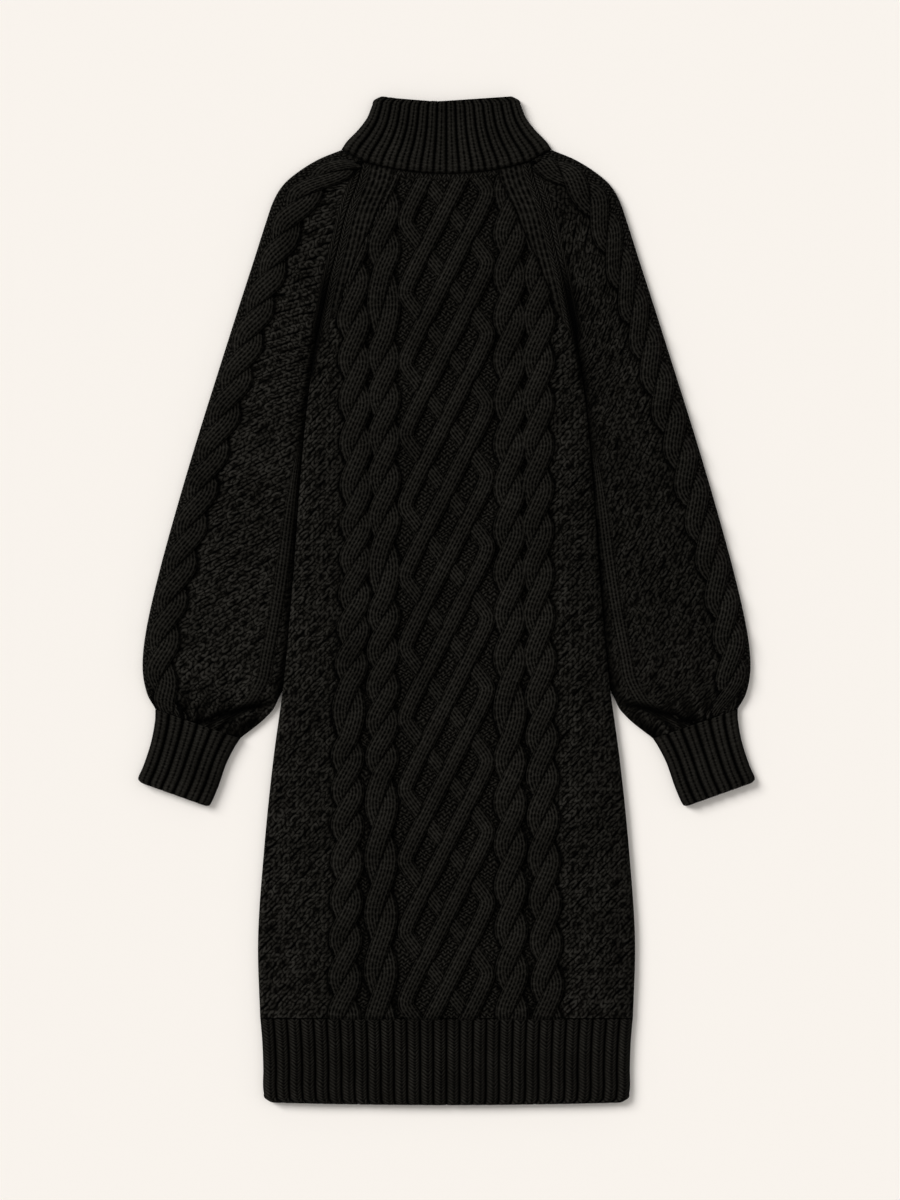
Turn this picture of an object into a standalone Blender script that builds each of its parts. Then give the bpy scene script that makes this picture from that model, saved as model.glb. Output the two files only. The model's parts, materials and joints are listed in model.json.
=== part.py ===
"""Chunky cable-knit sweater dress, laid flat on its back with the sleeves down.

Eight knitted pieces, each a thick wall: front and back panels, two raglan balloon sleeves, two
ribbed cuffs, a ribbed collar and a ribbed hem band. The back of every piece rests flat at z = 0.
The front carries rope cables, a lattice of travelling strands, knit bands and ribs in its outer
points, over a plain inside. +X is to the right of the dress as seen from above, +Y towards the
collar, +Z up. Sizes are in metres.
"""

import math

import bmesh
import bpy
import numpy as np

MM = 0.001

# Walls and the space between them
BACK_WALL = 4.0 * MM
FRONT_WALL = 4.0 * MM
LAYER_GAP = 0.4 * MM
BODY_CROWN = 2.0 * MM
SLEEVE_CROWN = 2.6 * MM
SEAM_GAP = 0.3 * MM
SIDE_LEVEL = BACK_WALL + LAYER_GAP / 2
UNDER_EDGE_INSET = 3.0 * MM
UNDER_EDGE_LEAST = 0.3  # share of the inset that is left where the underside has no rounding
PLAIN_SHARES = (0.25, 0.75)
PLAIN_BODY_SHARES = (-1.0, -0.6, 0.0, 0.6, 1.0)

# Body
COLLAR_TOP = 580.0 * MM
HEM_BOTTOM = -580.0 * MM
HEM_SEAM = -480.0 * MM
UNDERARM = 318.0 * MM
CREASE_TOP = 400.0 * MM
EDGE_ROUNDING = 8.0 * MM
EDGE_LEVEL = 0.25  # height of the front's side edge, as a share of its wall
BACK_SIDE_TOP = 2.8 * MM
BACK_SIDE_LOW = 1.1 * MM
ROW_STEP = 11.5 * MM
BODY_SIDE = (  # y, half_width, both in mm
    (507, 96),
    (489, 100),
    (444, 116),
    (409, 124.5),
    (360, 137),
    (318, 146),
    (254, 156.5),
    (143, 168),
    (33, 176),
    (-103, 188.5),
    (-176, 198.5),
    (-287, 210),
    (-397, 217),
    (-480, 214.5),
)

# Neckline: an arc between the raglan seams, then straight to the corner of the collar
NECK_SEAM = (96.0 * MM, 507.0 * MM)
NECK_CORNER = (121.0 * MM, 519.0 * MM)
FRONT_NECK_DROP = 14.0 * MM
BACK_NECK_RISE = 2.0 * MM
NECK_CURVE_REACH = 110.0 * MM
NECK_GAP = 0.5 * MM
NECK_INSIDE_SHORT = 1.4 * MM

# Rope cables of the front: two strands each
STRAND_HALF = 9.8 * MM
STRAND_SWING = 7.4 * MM
STRAND_DOME = 4.4 * MM
STRAND_LIFT = 1.5 * MM
CABLE_HALF = STRAND_HALF + STRAND_SWING
CABLES = {
    # centre: y, x in mm; crossings: number, y in mm
    "outer_left": {
        "centre": ((420, -107.5), (-45, -107.5), (-114, -112), (-287, -114), (-460, -117.5)),
        "crossings": ((-2, 345), (0, 252), (3, 107), (8, -94), (9, -160), (12, -279), (16, -456)),
    },
    "inner_left": {
        "centre": ((420, -72), (0, -72), (-287, -75), (-460, -75.5)),
        "crossings": ((-2, 428), (-1, 382), (0, 302), (5, 71), (6, 3), (9, -120), (11, -201), (15, -457)),
    },
    "inner_right": {
        "centre": ((420, 73), (-45, 73), (-287, 73.5), (-460, 75.5)),
        "crossings": ((-4, 445), (0, 252), (7, -91), (8, -160), (14, -450)),
    },
    "outer_right": {
        "centre": ((420, 108), (230, 105), (0, 105.5), (-114, 109), (-287, 112), (-460, 116.5)),
        "crossings": ((-3, 397), (0, 252), (3, 106), (7, -91), (9, -179), (15, -464)),
    },
}

# Central lattice: strands that travel from side to side over and under each other
LATTICE_HALF = 47.0 * MM
LATTICE_REPEAT = 81.6 * MM
LATTICE_STRANDS = 4
LATTICE_FIRST_TURN = 225.0 * MM
LATTICE_OVER_RUN = 198.0 * MM
LATTICE_CYCLE = LATTICE_REPEAT * LATTICE_STRANDS
LATTICE_STRAND_HALF = 6.6 * MM
LATTICE_OVER = 4.2 * MM
LATTICE_UNDER = 2.6 * MM
LATTICE_ROUNDNESS = 0.96
LATTICE_COLUMNS = 13

# Levels of the ground between the cables, and how the knitting sinks towards the hem's seam
RELIEF_END = 12.0 * MM
RELIEF_AT_HEM = 0.3
SEED_LEVEL = 1.2 * MM
PURL_LEVEL = 0.0
BAND_LEVEL = 2.4 * MM
BAND_RAMP = 2.0 * MM
RAGLAN_BAND = ((484, 61.5), (455, 76), (432, 86.5), (397, 102), (357, 118.5), (322, 134), (290, 152))

# Sleeve sections, each from its inner edge to its outer edge
SLEEVE_SECTIONS = (  # inner_y, clear of the body side, outer_x, outer_y, all in mm
    (506.6, 0.3, 121, 518.6),
    (488, 0.3, 147, 508),
    (467, 0.3, 170, 494),
    (444, 0.3, 187.5, 479),
    (414, 0.3, 199, 460.5),
    (374, 0.3, 208, 435),
    (325, 0.3, 222, 391),
    (282, 0.9, 238.5, 340),
    (230, 1.0, 261.5, 267.5),
    (161, 1.0, 284, 196),
    (81, 1.0, 307, 119),
    (0, 1.0, 329, 39.5),
    (-68, 1.0, 344.5, -27),
    (-114, 4.3, 350, -73),
    (-135, 15.5, 345.5, -105),
    (-158.7, 41.5, 335.2, -124.8),
)
SLEEVE_STATIONS = 66
ARMHOLE_END = 6.15
SLEEVE_CABLE_FROM_EDGE = ((0, 27), (5, 27), (7, 23.5), (15, 23))
SLEEVE_CABLE_PITCH = 44.4 * MM
SLEEVE_CABLE_CROSSING_Y = 150.0 * MM
UNDERARM_BAND = ((9.2, 0.0), (10, 0.05), (11, 0.12), (12, 0.155), (13, 0.16), (14, 0.23), (15, 0.376))
UNDERARM_BAND_HALF = 5.5 * MM
UNDERARM_COLUMN = 16.0 * MM
INNER_SLOPE = 26.0 * MM
GATHER_START = 12.6
WIDE_SECTION = 100.0 * MM
NARROW_SECTION = 60.0 * MM

# Cuff sections, inner edge to outer edge
CUFF_SECTIONS = (  # inner_x, inner_y, outer_x, outer_y, all in mm
    (237.5, -158.7, 335.2, -124.8),
    (244.4, -169.6, 335.8, -139.7),
    (253.6, -188.0, 340.4, -163.9),
    (262.8, -214.5, 348.5, -189.0),
    (271.3, -233.8, 354.9, -204.0),
    (275.6, -236.6, 352.4, -209.2),
)
CUFF_RIBS = 6
CUFF_RIB_RISE = 2.6 * MM

# Collar and hem
COLLAR_SECTIONS = (  # share of the height, half_width in mm
    (0.0, 121),
    (0.14, 115.5),
    (0.37, 102),
    (0.6, 91.5),
    (0.83, 85.7),
    (0.95, 82.2),
    (1.0, 76),
)
COLLAR_RIBS = 16
COLLAR_RIB_RISE = 3.0 * MM
COLLAR_TOP_DIP = 6.0 * MM
NECK_SEAM_SHARE = 0.5 * (1 - NECK_SEAM[0] / NECK_CORNER[0])
COLLAR_PLAIN_SHARES = (NECK_SEAM_SHARE, 0.3, 0.5, 0.7, 1 - NECK_SEAM_SHARE)
HEM_SECTIONS = (  # y, half_width, both in mm
    (-480, 214.5),
    (-508, 212.2),
    (-540, 211),
    (-569, 210.5),
    (-576, 209),
    (-580, 203),
)
HEM_RIBS = 28
HEM_RIB_RISE = 2.8 * MM
HEM_SIDE_RISE = 3.0 * MM
POINTS_PER_RIB = 4

YARN_COLOUR = (0.0062, 0.0056, 0.0046, 1.0)
YARN_ROUGHNESS = 0.92


# ---------------------------------------------------------------- curves and profiles


def smooth(at, knots, values):
    """The cubic curve through the knots, read at each value of at."""
    knots, values = np.asarray(knots, float), np.asarray(values, float)
    if knots[0] > knots[-1]:
        knots, values = knots[::-1], values[::-1]
    slopes = np.gradient(values, knots)
    i = np.clip(np.searchsorted(knots, at) - 1, 0, len(knots) - 2)
    span = knots[i + 1] - knots[i]
    t = np.clip((at - knots[i]) / span, 0.0, 1.0)
    rise = values[i + 1] - values[i]
    start, end = slopes[i] * span, slopes[i + 1] * span
    return values[i] + t * (start + t * (3 * rise - 2 * start - end + t * (start + end - 2 * rise)))


def table_curve(at, rows, column=1, scale=MM):
    """A column of a table of sizes in mm, as a smooth curve over its first column."""
    rows = np.array(rows, float)
    return smooth(np.asarray(at) / MM, rows[:, 0], rows[:, column]) * scale


def ease(value):
    value = np.clip(value, 0.0, 1.0)
    return value * value * (3 - 2 * value)


def dome(distance):
    """1 at the centre of a strand, 0 at its edge and beyond."""
    return np.sqrt(np.clip(1.0 - np.asarray(distance) ** 2, 0.0, 1.0))


def body_half(y):
    return table_curve(y, BODY_SIDE)


def neckline(x, drop):
    """Height of the neckline at x: an arc between the raglan seams, then straight to the corner."""
    seam_x, seam_y = NECK_SEAM
    corner_x, corner_y = NECK_CORNER
    out = np.abs(x)
    arc = seam_y - drop * (1 - np.minimum(out / seam_x, 1.0) ** 2)
    beyond = np.maximum(out - seam_x, 0.0) / (corner_x - seam_x)
    return arc + beyond * (corner_y - seam_y)


def crease(y):
    """1 high on the raglan seam, 0 from the underarm down, where the side edge folds to the back."""
    return ease((y - UNDERARM) / (CREASE_TOP - UNDERARM))


# ---------------------------------------------------------------- raised knitting


def rope(across, count):
    """Height of a two-strand cable, across its centre, where count is how many crossings are past.

    Each strand leans from upper right to lower left while it is on top.
    """
    highest = np.zeros(np.broadcast(across, count).shape)
    for strand in (0, 1):
        angle = math.pi * (count + 0.5 + strand)
        distance = (across - STRAND_SWING * np.cos(angle)) / STRAND_HALF
        lifted = STRAND_DOME + STRAND_LIFT * np.sin(angle)
        highest = np.maximum(highest, lifted * dome(distance))
    return highest


def lattice_place(y, strand):
    """(x, share on top, slope) of a travelling strand at y, its share on top 1 on the over run."""
    along = np.mod(LATTICE_FIRST_TURN - y - strand * LATTICE_REPEAT, LATTICE_CYCLE)
    over = along < LATTICE_OVER_RUN
    back_run = LATTICE_CYCLE - LATTICE_OVER_RUN
    run = np.where(over, LATTICE_OVER_RUN, back_run)
    share = np.where(over, along, along - LATTICE_OVER_RUN) / run
    wave = np.cos(math.pi * share) * np.where(over, 1.0, -1.0)
    x = LATTICE_HALF * np.arcsin(LATTICE_ROUNDNESS * wave) / math.asin(LATTICE_ROUNDNESS)
    on_top = np.where(over, 1.0, 1.0 - np.sin(math.pi * share))
    return x, on_top, 2 * LATTICE_HALF / run


def lattice(x, y):
    """Height of the central lattice."""
    highest = np.zeros(np.broadcast(x, y).shape)
    for strand in range(LATTICE_STRANDS):
        centre, on_top, slope = lattice_place(y, strand)
        distance = (x - centre) * np.cos(np.arctan(slope)) / LATTICE_STRAND_HALF
        level = LATTICE_UNDER + (LATTICE_OVER - LATTICE_UNDER) * on_top
        highest = np.maximum(highest, level * dome(distance))
    return highest


def front_relief(x, y):
    """Height of the front's knitting above its plain wall."""
    band_edge = table_curve(y, RAGLAN_BAND)
    inside = band_edge - np.abs(x)
    ropes = np.zeros_like(x)
    outermost = 0.0
    for cable in CABLES.values():
        numbers, heights = np.array(cable["crossings"], float).T
        count = np.interp(-y / MM, -heights, numbers)
        centre = table_curve(y, cable["centre"])
        ropes = np.maximum(ropes, rope(x - centre, count))
        outermost = np.maximum(outermost, np.sign(centre) * np.sign(x) * np.abs(centre))
    ground = np.where(np.abs(x) > outermost + CABLE_HALF, SEED_LEVEL, PURL_LEVEL)
    knitting = np.maximum(ground, np.maximum(ropes, lattice(x, y)))
    banded = knitting * ease(inside / (2 * BAND_RAMP)) + BAND_LEVEL * ease(-inside / BAND_RAMP)
    sinking = RELIEF_AT_HEM + (1 - RELIEF_AT_HEM) * ease((y - HEM_SEAM) / RELIEF_END)
    return np.where(y > UNDERARM, banded, knitting) * sinking


def rib(share, rise):
    """Height of a rib across its pitch: a round knit column and a narrow valley."""
    return rise * dome(2 * np.mod(share, 1.0) - 1.0)


# ---------------------------------------------------------------- solids


def zipped(first, second):
    """Triangles between two chains of vertices that run side by side, over the shorter cross edges."""

    def apart(i, j):
        within = i < len(first) and j < len(second)
        return (first[i].co - second[j].co).length if within else math.inf

    faces = []
    i = j = 0
    while i < len(first) - 1 or j < len(second) - 1:
        if apart(i + 1, j) <= apart(i, j + 1):
            faces.append((first[i], first[i + 1], second[j]))
            i += 1
        else:
            faces.append((first[i], second[j + 1], second[j]))
            j += 1
    return faces


def knitted_wall(name, outer, inner, outer_open=0, inner_open=0, lean=1):
    """A closed solid between an outer and an inner sheet, each a list of rows of points.

    The first outer_open and inner_open rows are open from side to side, and the rest are rings
    whose first and last points meet. lean is 1 where the outer triangles' shared edges run from
    the first column of a row to the second of the row before, as the strands do, and -1 the other way.
    """
    mesh = bmesh.new()
    skin = [[mesh.verts.new(p) for p in row] for row in outer]
    lining = [[mesh.verts.new(p) for p in row] for row in inner]
    for near, far in zip(skin, skin[1:]):
        for k in range(len(near) - 1):
            a, b, c, d = near[k], near[k + 1], far[k + 1], far[k]
            halves = ((a, b, d), (b, c, d)) if lean > 0 else ((a, b, c), (a, c, d))
            for corners in halves:
                mesh.faces.new(corners)
    for near, far in zip(lining, lining[1:]):
        for k in range(len(near) - 1):
            mesh.faces.new((near[k], near[k + 1], far[k + 1], far[k]))
    for end in (0, -1):
        if outer_open:
            skin_edge = [row[end] for row in skin[: outer_open + 1]]
            lining_edge = [row[end] for row in lining[: inner_open + 1]]
            for corners in zipped(skin_edge, lining_edge):
                mesh.faces.new(corners)
    for row in (0, -1):
        for corners in zipped(skin[row], lining[row]):
            mesh.faces.new(corners)
    bmesh.ops.remove_doubles(mesh, verts=mesh.verts, dist=1e-6)
    bmesh.ops.dissolve_degenerate(mesh, edges=mesh.edges, dist=1e-7)
    bmesh.ops.triangulate(mesh, faces=mesh.faces)
    bmesh.ops.recalc_face_normals(mesh, faces=mesh.faces)
    data = bpy.data.meshes.new(name)
    mesh.to_mesh(data)
    mesh.free()
    data.shade_smooth()
    data.set_sharp_from_angle(angle=math.radians(50))
    data.materials.append(yarn(name))
    made = bpy.data.objects.new(name, data)
    bpy.data.collections["sweater_dress"].objects.link(made)
    return made


def yarn(name):
    material = bpy.data.materials.new(name + "_yarn")
    material.use_nodes = True
    surface = material.node_tree.nodes["Principled BSDF"]
    surface.inputs["Base Color"].default_value = YARN_COLOUR
    surface.inputs["Roughness"].default_value = YARN_ROUGHNESS
    surface.inputs["Metallic"].default_value = 0.0
    return material


def body_rows():
    """Heights of the rows of points, from the neck to the hem's seam."""
    top, bottom = NECK_SEAM[1], HEM_SEAM + SEAM_GAP / 2
    return np.linspace(top, bottom, round((top - bottom) / ROW_STEP) + 1)


def sparse(count, dense):
    """Which of count rows a plain surface keeps: each of the dense first ones, then every third."""
    return sorted(set(range(dense + 1)) | set(range(dense, count, 3)) | {count - 1})


def bent_to_neck(x, y, drop):
    """Rows near the neck bend from straight to the line of the neckline between the raglan seams."""
    seam_x, top = NECK_SEAM
    share = ease((y - (top - NECK_CURVE_REACH)) / NECK_CURVE_REACH)
    within = np.clip(x, -seam_x, seam_x)
    gap = NECK_GAP * (y == top)
    return y + share * (neckline(within, drop) - top) - gap


def front_columns(y):
    """x of each column of points across the front at the row y."""
    half = float(body_half(y))
    across = [-half, -half + 0.4 * EDGE_ROUNDING, -half + EDGE_ROUNDING]
    centres = [float(table_curve(y, cable["centre"])) for cable in CABLES.values()]
    outer_left, inner_left, inner_right, outer_right = centres
    across.append(0.5 * (across[-1] + outer_left - CABLE_HALF))
    inside = (-0.6, -0.2, 0.2, 0.6)
    across += [outer_left + share * CABLE_HALF for share in (-1.0, *inside)]
    across += [0.5 * (outer_left + inner_left)]
    across += [inner_left + share * CABLE_HALF for share in (*inside, 1.0)]
    across += list(np.linspace(-LATTICE_HALF, LATTICE_HALF, LATTICE_COLUMNS))
    across += [inner_right + share * CABLE_HALF for share in (-1.0, *inside)]
    across += [0.5 * (inner_right + outer_right)]
    across += [outer_right + share * CABLE_HALF for share in (*inside, 1.0)]
    right = [half - EDGE_ROUNDING, half - 0.4 * EDGE_ROUNDING, half]
    across.append(0.5 * (right[0] + outer_right + CABLE_HALF))
    return np.array(across + right)


def seam_edge_height(creased):
    """Height of a front's side edge: low where it folds to the back, full on the raglan seam."""
    return BACK_WALL + LAYER_GAP + FRONT_WALL * (EDGE_LEVEL + (1 - EDGE_LEVEL) * creased)


def yoke_rows(rows):
    """How many rows lie beside a sleeve, where all edges of a seam follow the same points."""
    return int(np.sum(rows > UNDERARM - 25 * MM))


def front_panel():
    rows = body_rows()
    wide = front_columns(UNDERARM - 40 * MM)
    outer, inner = [], []
    for row in rows:
        half = float(body_half(row))
        narrow = wide * half / wide[-1]
        blend = float(ease((row - 200 * MM) / (UNDERARM - 160 * MM)))
        x = narrow * blend + front_columns(row) * (1 - blend)
        y = bent_to_neck(x, row, FRONT_NECK_DROP)
        crown = BODY_CROWN * (1 - (x / half) ** 2)
        top = BACK_WALL + LAYER_GAP + crown + FRONT_WALL
        edge = seam_edge_height(float(crease(row)))
        from_edge = np.clip((half - np.abs(x)) / EDGE_ROUNDING, 0.0, 1.0)
        side = dome(1 - from_edge)
        relief = front_relief(x, y) * ease(from_edge)
        outer.append(np.column_stack([x, y, edge + (top - edge) * side + relief]))
    shares = np.array(PLAIN_BODY_SHARES)
    for number in sparse(len(rows), yoke_rows(rows)):
        row = rows[number]
        x = shares * float(body_half(row))
        y = bent_to_neck(x, row, FRONT_NECK_DROP) - NECK_INSIDE_SHORT * (number == 0)
        z = BACK_WALL + LAYER_GAP + BODY_CROWN * (1 - shares**2)
        inner.append(np.column_stack([x, y, z]))
    return knitted_wall("front_panel", outer, inner, len(outer), len(inner))


def back_panel():
    rows = body_rows()
    shares = np.array(PLAIN_BODY_SHARES)
    outer, inner = [], []
    for number in sparse(len(rows), yoke_rows(rows)):
        row = rows[number]
        half = float(body_half(row))
        fold = 1 - float(crease(row))
        inset = UNDER_EDGE_INSET * (UNDER_EDGE_LEAST + (1 - UNDER_EDGE_LEAST) * fold)
        side = np.array([half, half - UNDER_EDGE_LEAST * inset])
        under = np.concatenate([-side, shares * (half - inset), side[::-1]])
        side_z = np.array([BACK_SIDE_TOP, BACK_SIDE_LOW]) * fold
        under_z = np.concatenate([side_z, np.zeros(len(shares)), side_z[::-1]])
        outer.append(np.column_stack([under, bent_to_neck(under, row, -BACK_NECK_RISE), under_z]))
        plain = shares * half
        plain_y = bent_to_neck(plain, row, -BACK_NECK_RISE)
        inner.append(np.column_stack([plain, plain_y, np.full(len(plain), BACK_WALL)]))
    return knitted_wall("back_panel", outer, inner, len(outer), len(inner))


def tube_section(
    start, end, shares, heights, plain=PLAIN_SHARES, lining=None, open_edge=0.0, crown=0.0, fold=0.0
):
    """Outer and inner points of one flattened tube section, from start over the front to end and back.

    shares and heights give the front's outer points, plain the shares of the back's, and lining
    those of the front's inner points where they aren't plain. open_edge is the height of the
    front's cut edge at the start where the section is open there, or 0 where it is a ring.
    fold is 1 where the start folds down beside the body.
    """
    start, end = np.array(start), np.array(end)
    width = float(np.linalg.norm(end - start))
    inset = UNDER_EDGE_INSET / width
    thick = FRONT_WALL / width
    is_open = open_edge > 0.0
    plain = np.array(plain)
    lining = plain if lining is None else np.array(lining)
    under = np.concatenate([[1 - inset], plain[::-1], [0.5 * plain[0] if is_open else inset]])
    outer_shares = np.concatenate([[0.0], shares, [1.0], under, [0.0]])
    first = open_edge if is_open else SIDE_LEVEL
    last = 0.0 if is_open else SIDE_LEVEL
    outer_z = np.concatenate([[first], heights, [SIDE_LEVEL], np.zeros(len(under)), [last]])
    fallen = 1 - 0.6 * fold * (lining < 0.3)
    lining_z = BACK_WALL + LAYER_GAP + crown * np.sin(math.pi * lining) * fallen
    begin = 0.0 if is_open else thick
    inner_shares = np.concatenate([[begin], lining, [1 - thick], plain[::-1], [begin]])
    begin_front = BACK_WALL + LAYER_GAP if is_open else SIDE_LEVEL
    begin_back = BACK_WALL if is_open else SIDE_LEVEL
    back_z = np.full(len(plain), BACK_WALL)
    inner_z = np.concatenate([[begin_front], lining_z, [SIDE_LEVEL], back_z, [begin_back]])
    outer = np.column_stack([start + outer_shares[:, None] * (end - start), outer_z])
    inner = np.column_stack([start + inner_shares[:, None] * (end - start), inner_z])
    return outer, inner


def rib_columns(ribs):
    """Shares across a ribbed front and how far through its rib each lies, edges left out."""
    through = np.arange(1, ribs * POINTS_PER_RIB) / POINTS_PER_RIB
    return through / ribs, through


def edge_round(shares, width):
    """1 away from both edges of a section, sinking to 0 in a quarter round at each."""
    from_edge = np.minimum(shares, 1 - shares) * width / EDGE_ROUNDING
    return dome(1 - np.clip(from_edge, 0.0, 1.0))


def ribbed_section(start, end, ribs, rise, crown=0.0, bend=None, plain=PLAIN_SHARES):
    """A section of a ribbed tube, whose lining has a point under the crest of each rib.

    bend gives y from x, and whether the point is on the front.
    """
    width = math.dist(start, end)
    shares, through = rib_columns(ribs)
    lining = sorted({(number + 0.5) / ribs for number in range(ribs)} | set(plain))
    base = BACK_WALL + LAYER_GAP + FRONT_WALL - rise / 2 + crown * np.sin(math.pi * shares)
    rounding = edge_round(shares, width)
    heights = SIDE_LEVEL + (base - SIDE_LEVEL + rib(through, rise)) * rounding
    outer, inner = tube_section(start, end, shares, heights, plain, lining, crown=crown)
    if bend is not None:
        for points, front in ((outer, len(shares) + 2), (inner, len(lining) + 2)):
            points[:front, 1] = bend(points[:front, 0], True)
            points[front - 1 :, 1] = bend(points[front - 1 :, 0], False)
    return outer, inner


def ribbed_tube(name, sections):
    outer, inner = zip(*sections)
    return knitted_wall(name, outer, inner)


# ---------------------------------------------------------------- sleeves and cuffs


def sleeve_edges(station, side):
    """Inner and outer edge points of the sleeve section at a station of the table."""
    numbers = np.arange(len(SLEEVE_SECTIONS))
    inner_y, clear, outer_x, outer_y = (
        float(smooth(station, numbers, column)) * MM for column in np.array(SLEEVE_SECTIONS, float).T
    )
    inner_x = float(body_half(inner_y)) + max(clear, SEAM_GAP)
    return np.array([side * inner_x, inner_y]), np.array([side * outer_x, outer_y])


def sleeve_relief(across, station, count, side, width):
    """Height of a sleeve's knitting, at distances across from its outer edge."""
    centre = float(smooth(station, *np.array(SLEEVE_CABLE_FROM_EDGE, float).T)) * MM
    ropes = rope(side * (centre - across), count)
    ground = np.where(across > centre, SEED_LEVEL, PURL_LEVEL)
    knitting = np.maximum(ground, ropes)
    if station > UNDERARM_BAND[0][0]:
        share = float(smooth(station, *np.array(UNDERARM_BAND, float).T))
        band = BAND_LEVEL * dome((width * (1 - share) - across) / UNDERARM_BAND_HALF)
        knitting = np.maximum(knitting, band)
    return knitting


def sleeve_shares(station, width):
    """Shares across the front of a sleeve section, from its inner edge."""
    centre = float(smooth(station, *np.array(SLEEVE_CABLE_FROM_EDGE, float).T)) * MM
    band = float(np.interp(station, *np.array(UNDERARM_BAND, float).T)) * width
    cable = [centre + share * CABLE_HALF for share in (-1.0, -0.5, 0.0, 0.5, 1.0)]
    band_at = max(band, UNDERARM_COLUMN)
    inner = [3 * MM, 8 * MM, band_at - UNDERARM_BAND_HALF, band_at, band_at + UNDERARM_BAND_HALF]
    from_inner = inner + [0.6 * (width - cable[-1]) + 0.4 * inner[-1]]
    from_outer = cable[::-1] + [0.6 * cable[0], 0.2 * cable[0]]
    wanted = np.array(from_inner + [width - place for place in from_outer]) / width
    even = np.linspace(0.0, 1.0, len(wanted) + 2)[1:-1]
    room = float(ease((width - NARROW_SECTION) / (WIDE_SECTION - NARROW_SECTION)))
    return even + (wanted - even) * room


def sleeve(name, side):
    stations = np.linspace(0, len(SLEEVE_SECTIONS) - 1, SLEEVE_STATIONS)
    cable_centres = []
    for station in stations:
        start, end = sleeve_edges(station, side)
        centre = float(smooth(station, *np.array(SLEEVE_CABLE_FROM_EDGE, float).T)) * MM
        cable_centres.append(end + (start - end) * centre / np.linalg.norm(end - start))
    cable_centres = np.array(cable_centres)
    steps = np.linalg.norm(np.diff(cable_centres, axis=0), axis=1)
    length = np.concatenate([[0.0], np.cumsum(steps)])
    at_crossing = np.interp(-SLEEVE_CABLE_CROSSING_Y, -cable_centres[:, 1], length)
    outer, inner = [], []
    for station, run in zip(stations, length):
        start, end = sleeve_edges(station, side)
        if station == stations[-1]:
            start, end = start + (0, SEAM_GAP / 2), end + (0, SEAM_GAP / 2)
        width = float(np.linalg.norm(end - start))
        shares = sleeve_shares(station, width)
        gather = float(ease((station - GATHER_START) / (stations[-1] - GATHER_START)))
        is_open = station < ARMHOLE_END
        fold = 1 - float(crease(start[1]))
        crown = SLEEVE_CROWN * (1 - 0.8 * gather) * min(1.0, width / WIDE_SECTION)
        front = BACK_WALL + LAYER_GAP + FRONT_WALL + crown * np.sin(math.pi * shares)
        count = (run - at_crossing) / SLEEVE_CABLE_PITCH
        relief = sleeve_relief((1 - shares) * width, station, count, side, width) * (1 - 0.6 * gather)
        inner_rise = ease(shares * width / INNER_SLOPE + 0.02) * fold + (1 - fold)
        low_edge = seam_edge_height(0.0)
        round_outer = dome(1 - np.clip((1 - shares) * width / EDGE_ROUNDING, 0.0, 1.0))
        heights = low_edge + (front + relief - low_edge) * inner_rise
        heights = SIDE_LEVEL + (heights - SIDE_LEVEL) * round_outer
        edge = seam_edge_height(1 - fold)
        ring_outer, ring_inner = tube_section(
            start, end, shares, heights, open_edge=edge * is_open, crown=crown, fold=fold
        )
        outer.append(ring_outer)
        inner.append(ring_inner)
    still_open = int(np.sum(stations < ARMHOLE_END))
    kept = sparse(len(stations), still_open)
    return knitted_wall(name, outer, [inner[k] for k in kept], still_open, still_open, side)


def cuff(name, side):
    sections = []
    for number, (inner_x, inner_y, outer_x, outer_y) in enumerate(CUFF_SECTIONS):
        drop = SEAM_GAP / MM if number == 0 else 0.0
        start = (side * inner_x * MM, (inner_y - drop) * MM)
        end = (side * outer_x * MM, (outer_y - drop) * MM)
        sections.append(ribbed_section(start, end, CUFF_RIBS, CUFF_RIB_RISE))
    return ribbed_tube(name, sections)


# ---------------------------------------------------------------- collar and hem


def collar():
    sections = []
    for share, half_mm in COLLAR_SECTIONS:
        half = half_mm * MM

        def height(x, on_front, share=share, half=half):
            reach = np.abs(x) / half
            drop = FRONT_NECK_DROP if on_front else -BACK_NECK_RISE
            low = neckline(reach * NECK_CORNER[0], drop)
            high = COLLAR_TOP - COLLAR_TOP_DIP * (1 - reach**2)
            return low + (high - low) * share

        start, end = (-half, 0.0), (half, 0.0)
        crown = BODY_CROWN * (1 - share)
        section = ribbed_section(
            start, end, COLLAR_RIBS, COLLAR_RIB_RISE, crown, height, COLLAR_PLAIN_SHARES
        )
        sections.append(section)
    return ribbed_tube("collar", sections)


def hem_rib():
    sections = []
    for y_mm, half_mm in HEM_SECTIONS:
        half = half_mm * MM
        y = y_mm * MM
        low = (HEM_SEAM - y) / (HEM_SEAM - HEM_BOTTOM)
        gap = SEAM_GAP / 2 if y == HEM_SEAM else 0.0

        def height(x, on_front, y=y, half=half, low=low, gap=gap):
            return y - gap + low * HEM_SIDE_RISE * (x / half) ** 2

        crown = BODY_CROWN * (1 - low)
        sections.append(ribbed_section((-half, y), (half, y), HEM_RIBS, HEM_RIB_RISE, crown, height))
    return ribbed_tube("hem_rib", sections)


def main():
    for old in list(bpy.data.objects):
        bpy.data.objects.remove(old)
    dress = bpy.data.collections.new("sweater_dress")
    bpy.context.scene.collection.children.link(dress)
    front_panel()
    back_panel()
    for name, side in (("left", -1), ("right", 1)):
        sleeve(name + "_sleeve", side)
        cuff(name + "_cuff", side)
    collar()
    hem_rib()


main()
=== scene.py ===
"""Looks of a chunky cable-knit sweater dress that lies flat on its back.

Every knitted piece is a wall with its stitches raised in its upper side. Rope cables and the
strands of the central lattice are tubes of stockinette that lie on that ground and cross each other.
x runs to the right of the dress, y towards the collar, z up. Sizes are in metres.
"""

import json
import math

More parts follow.
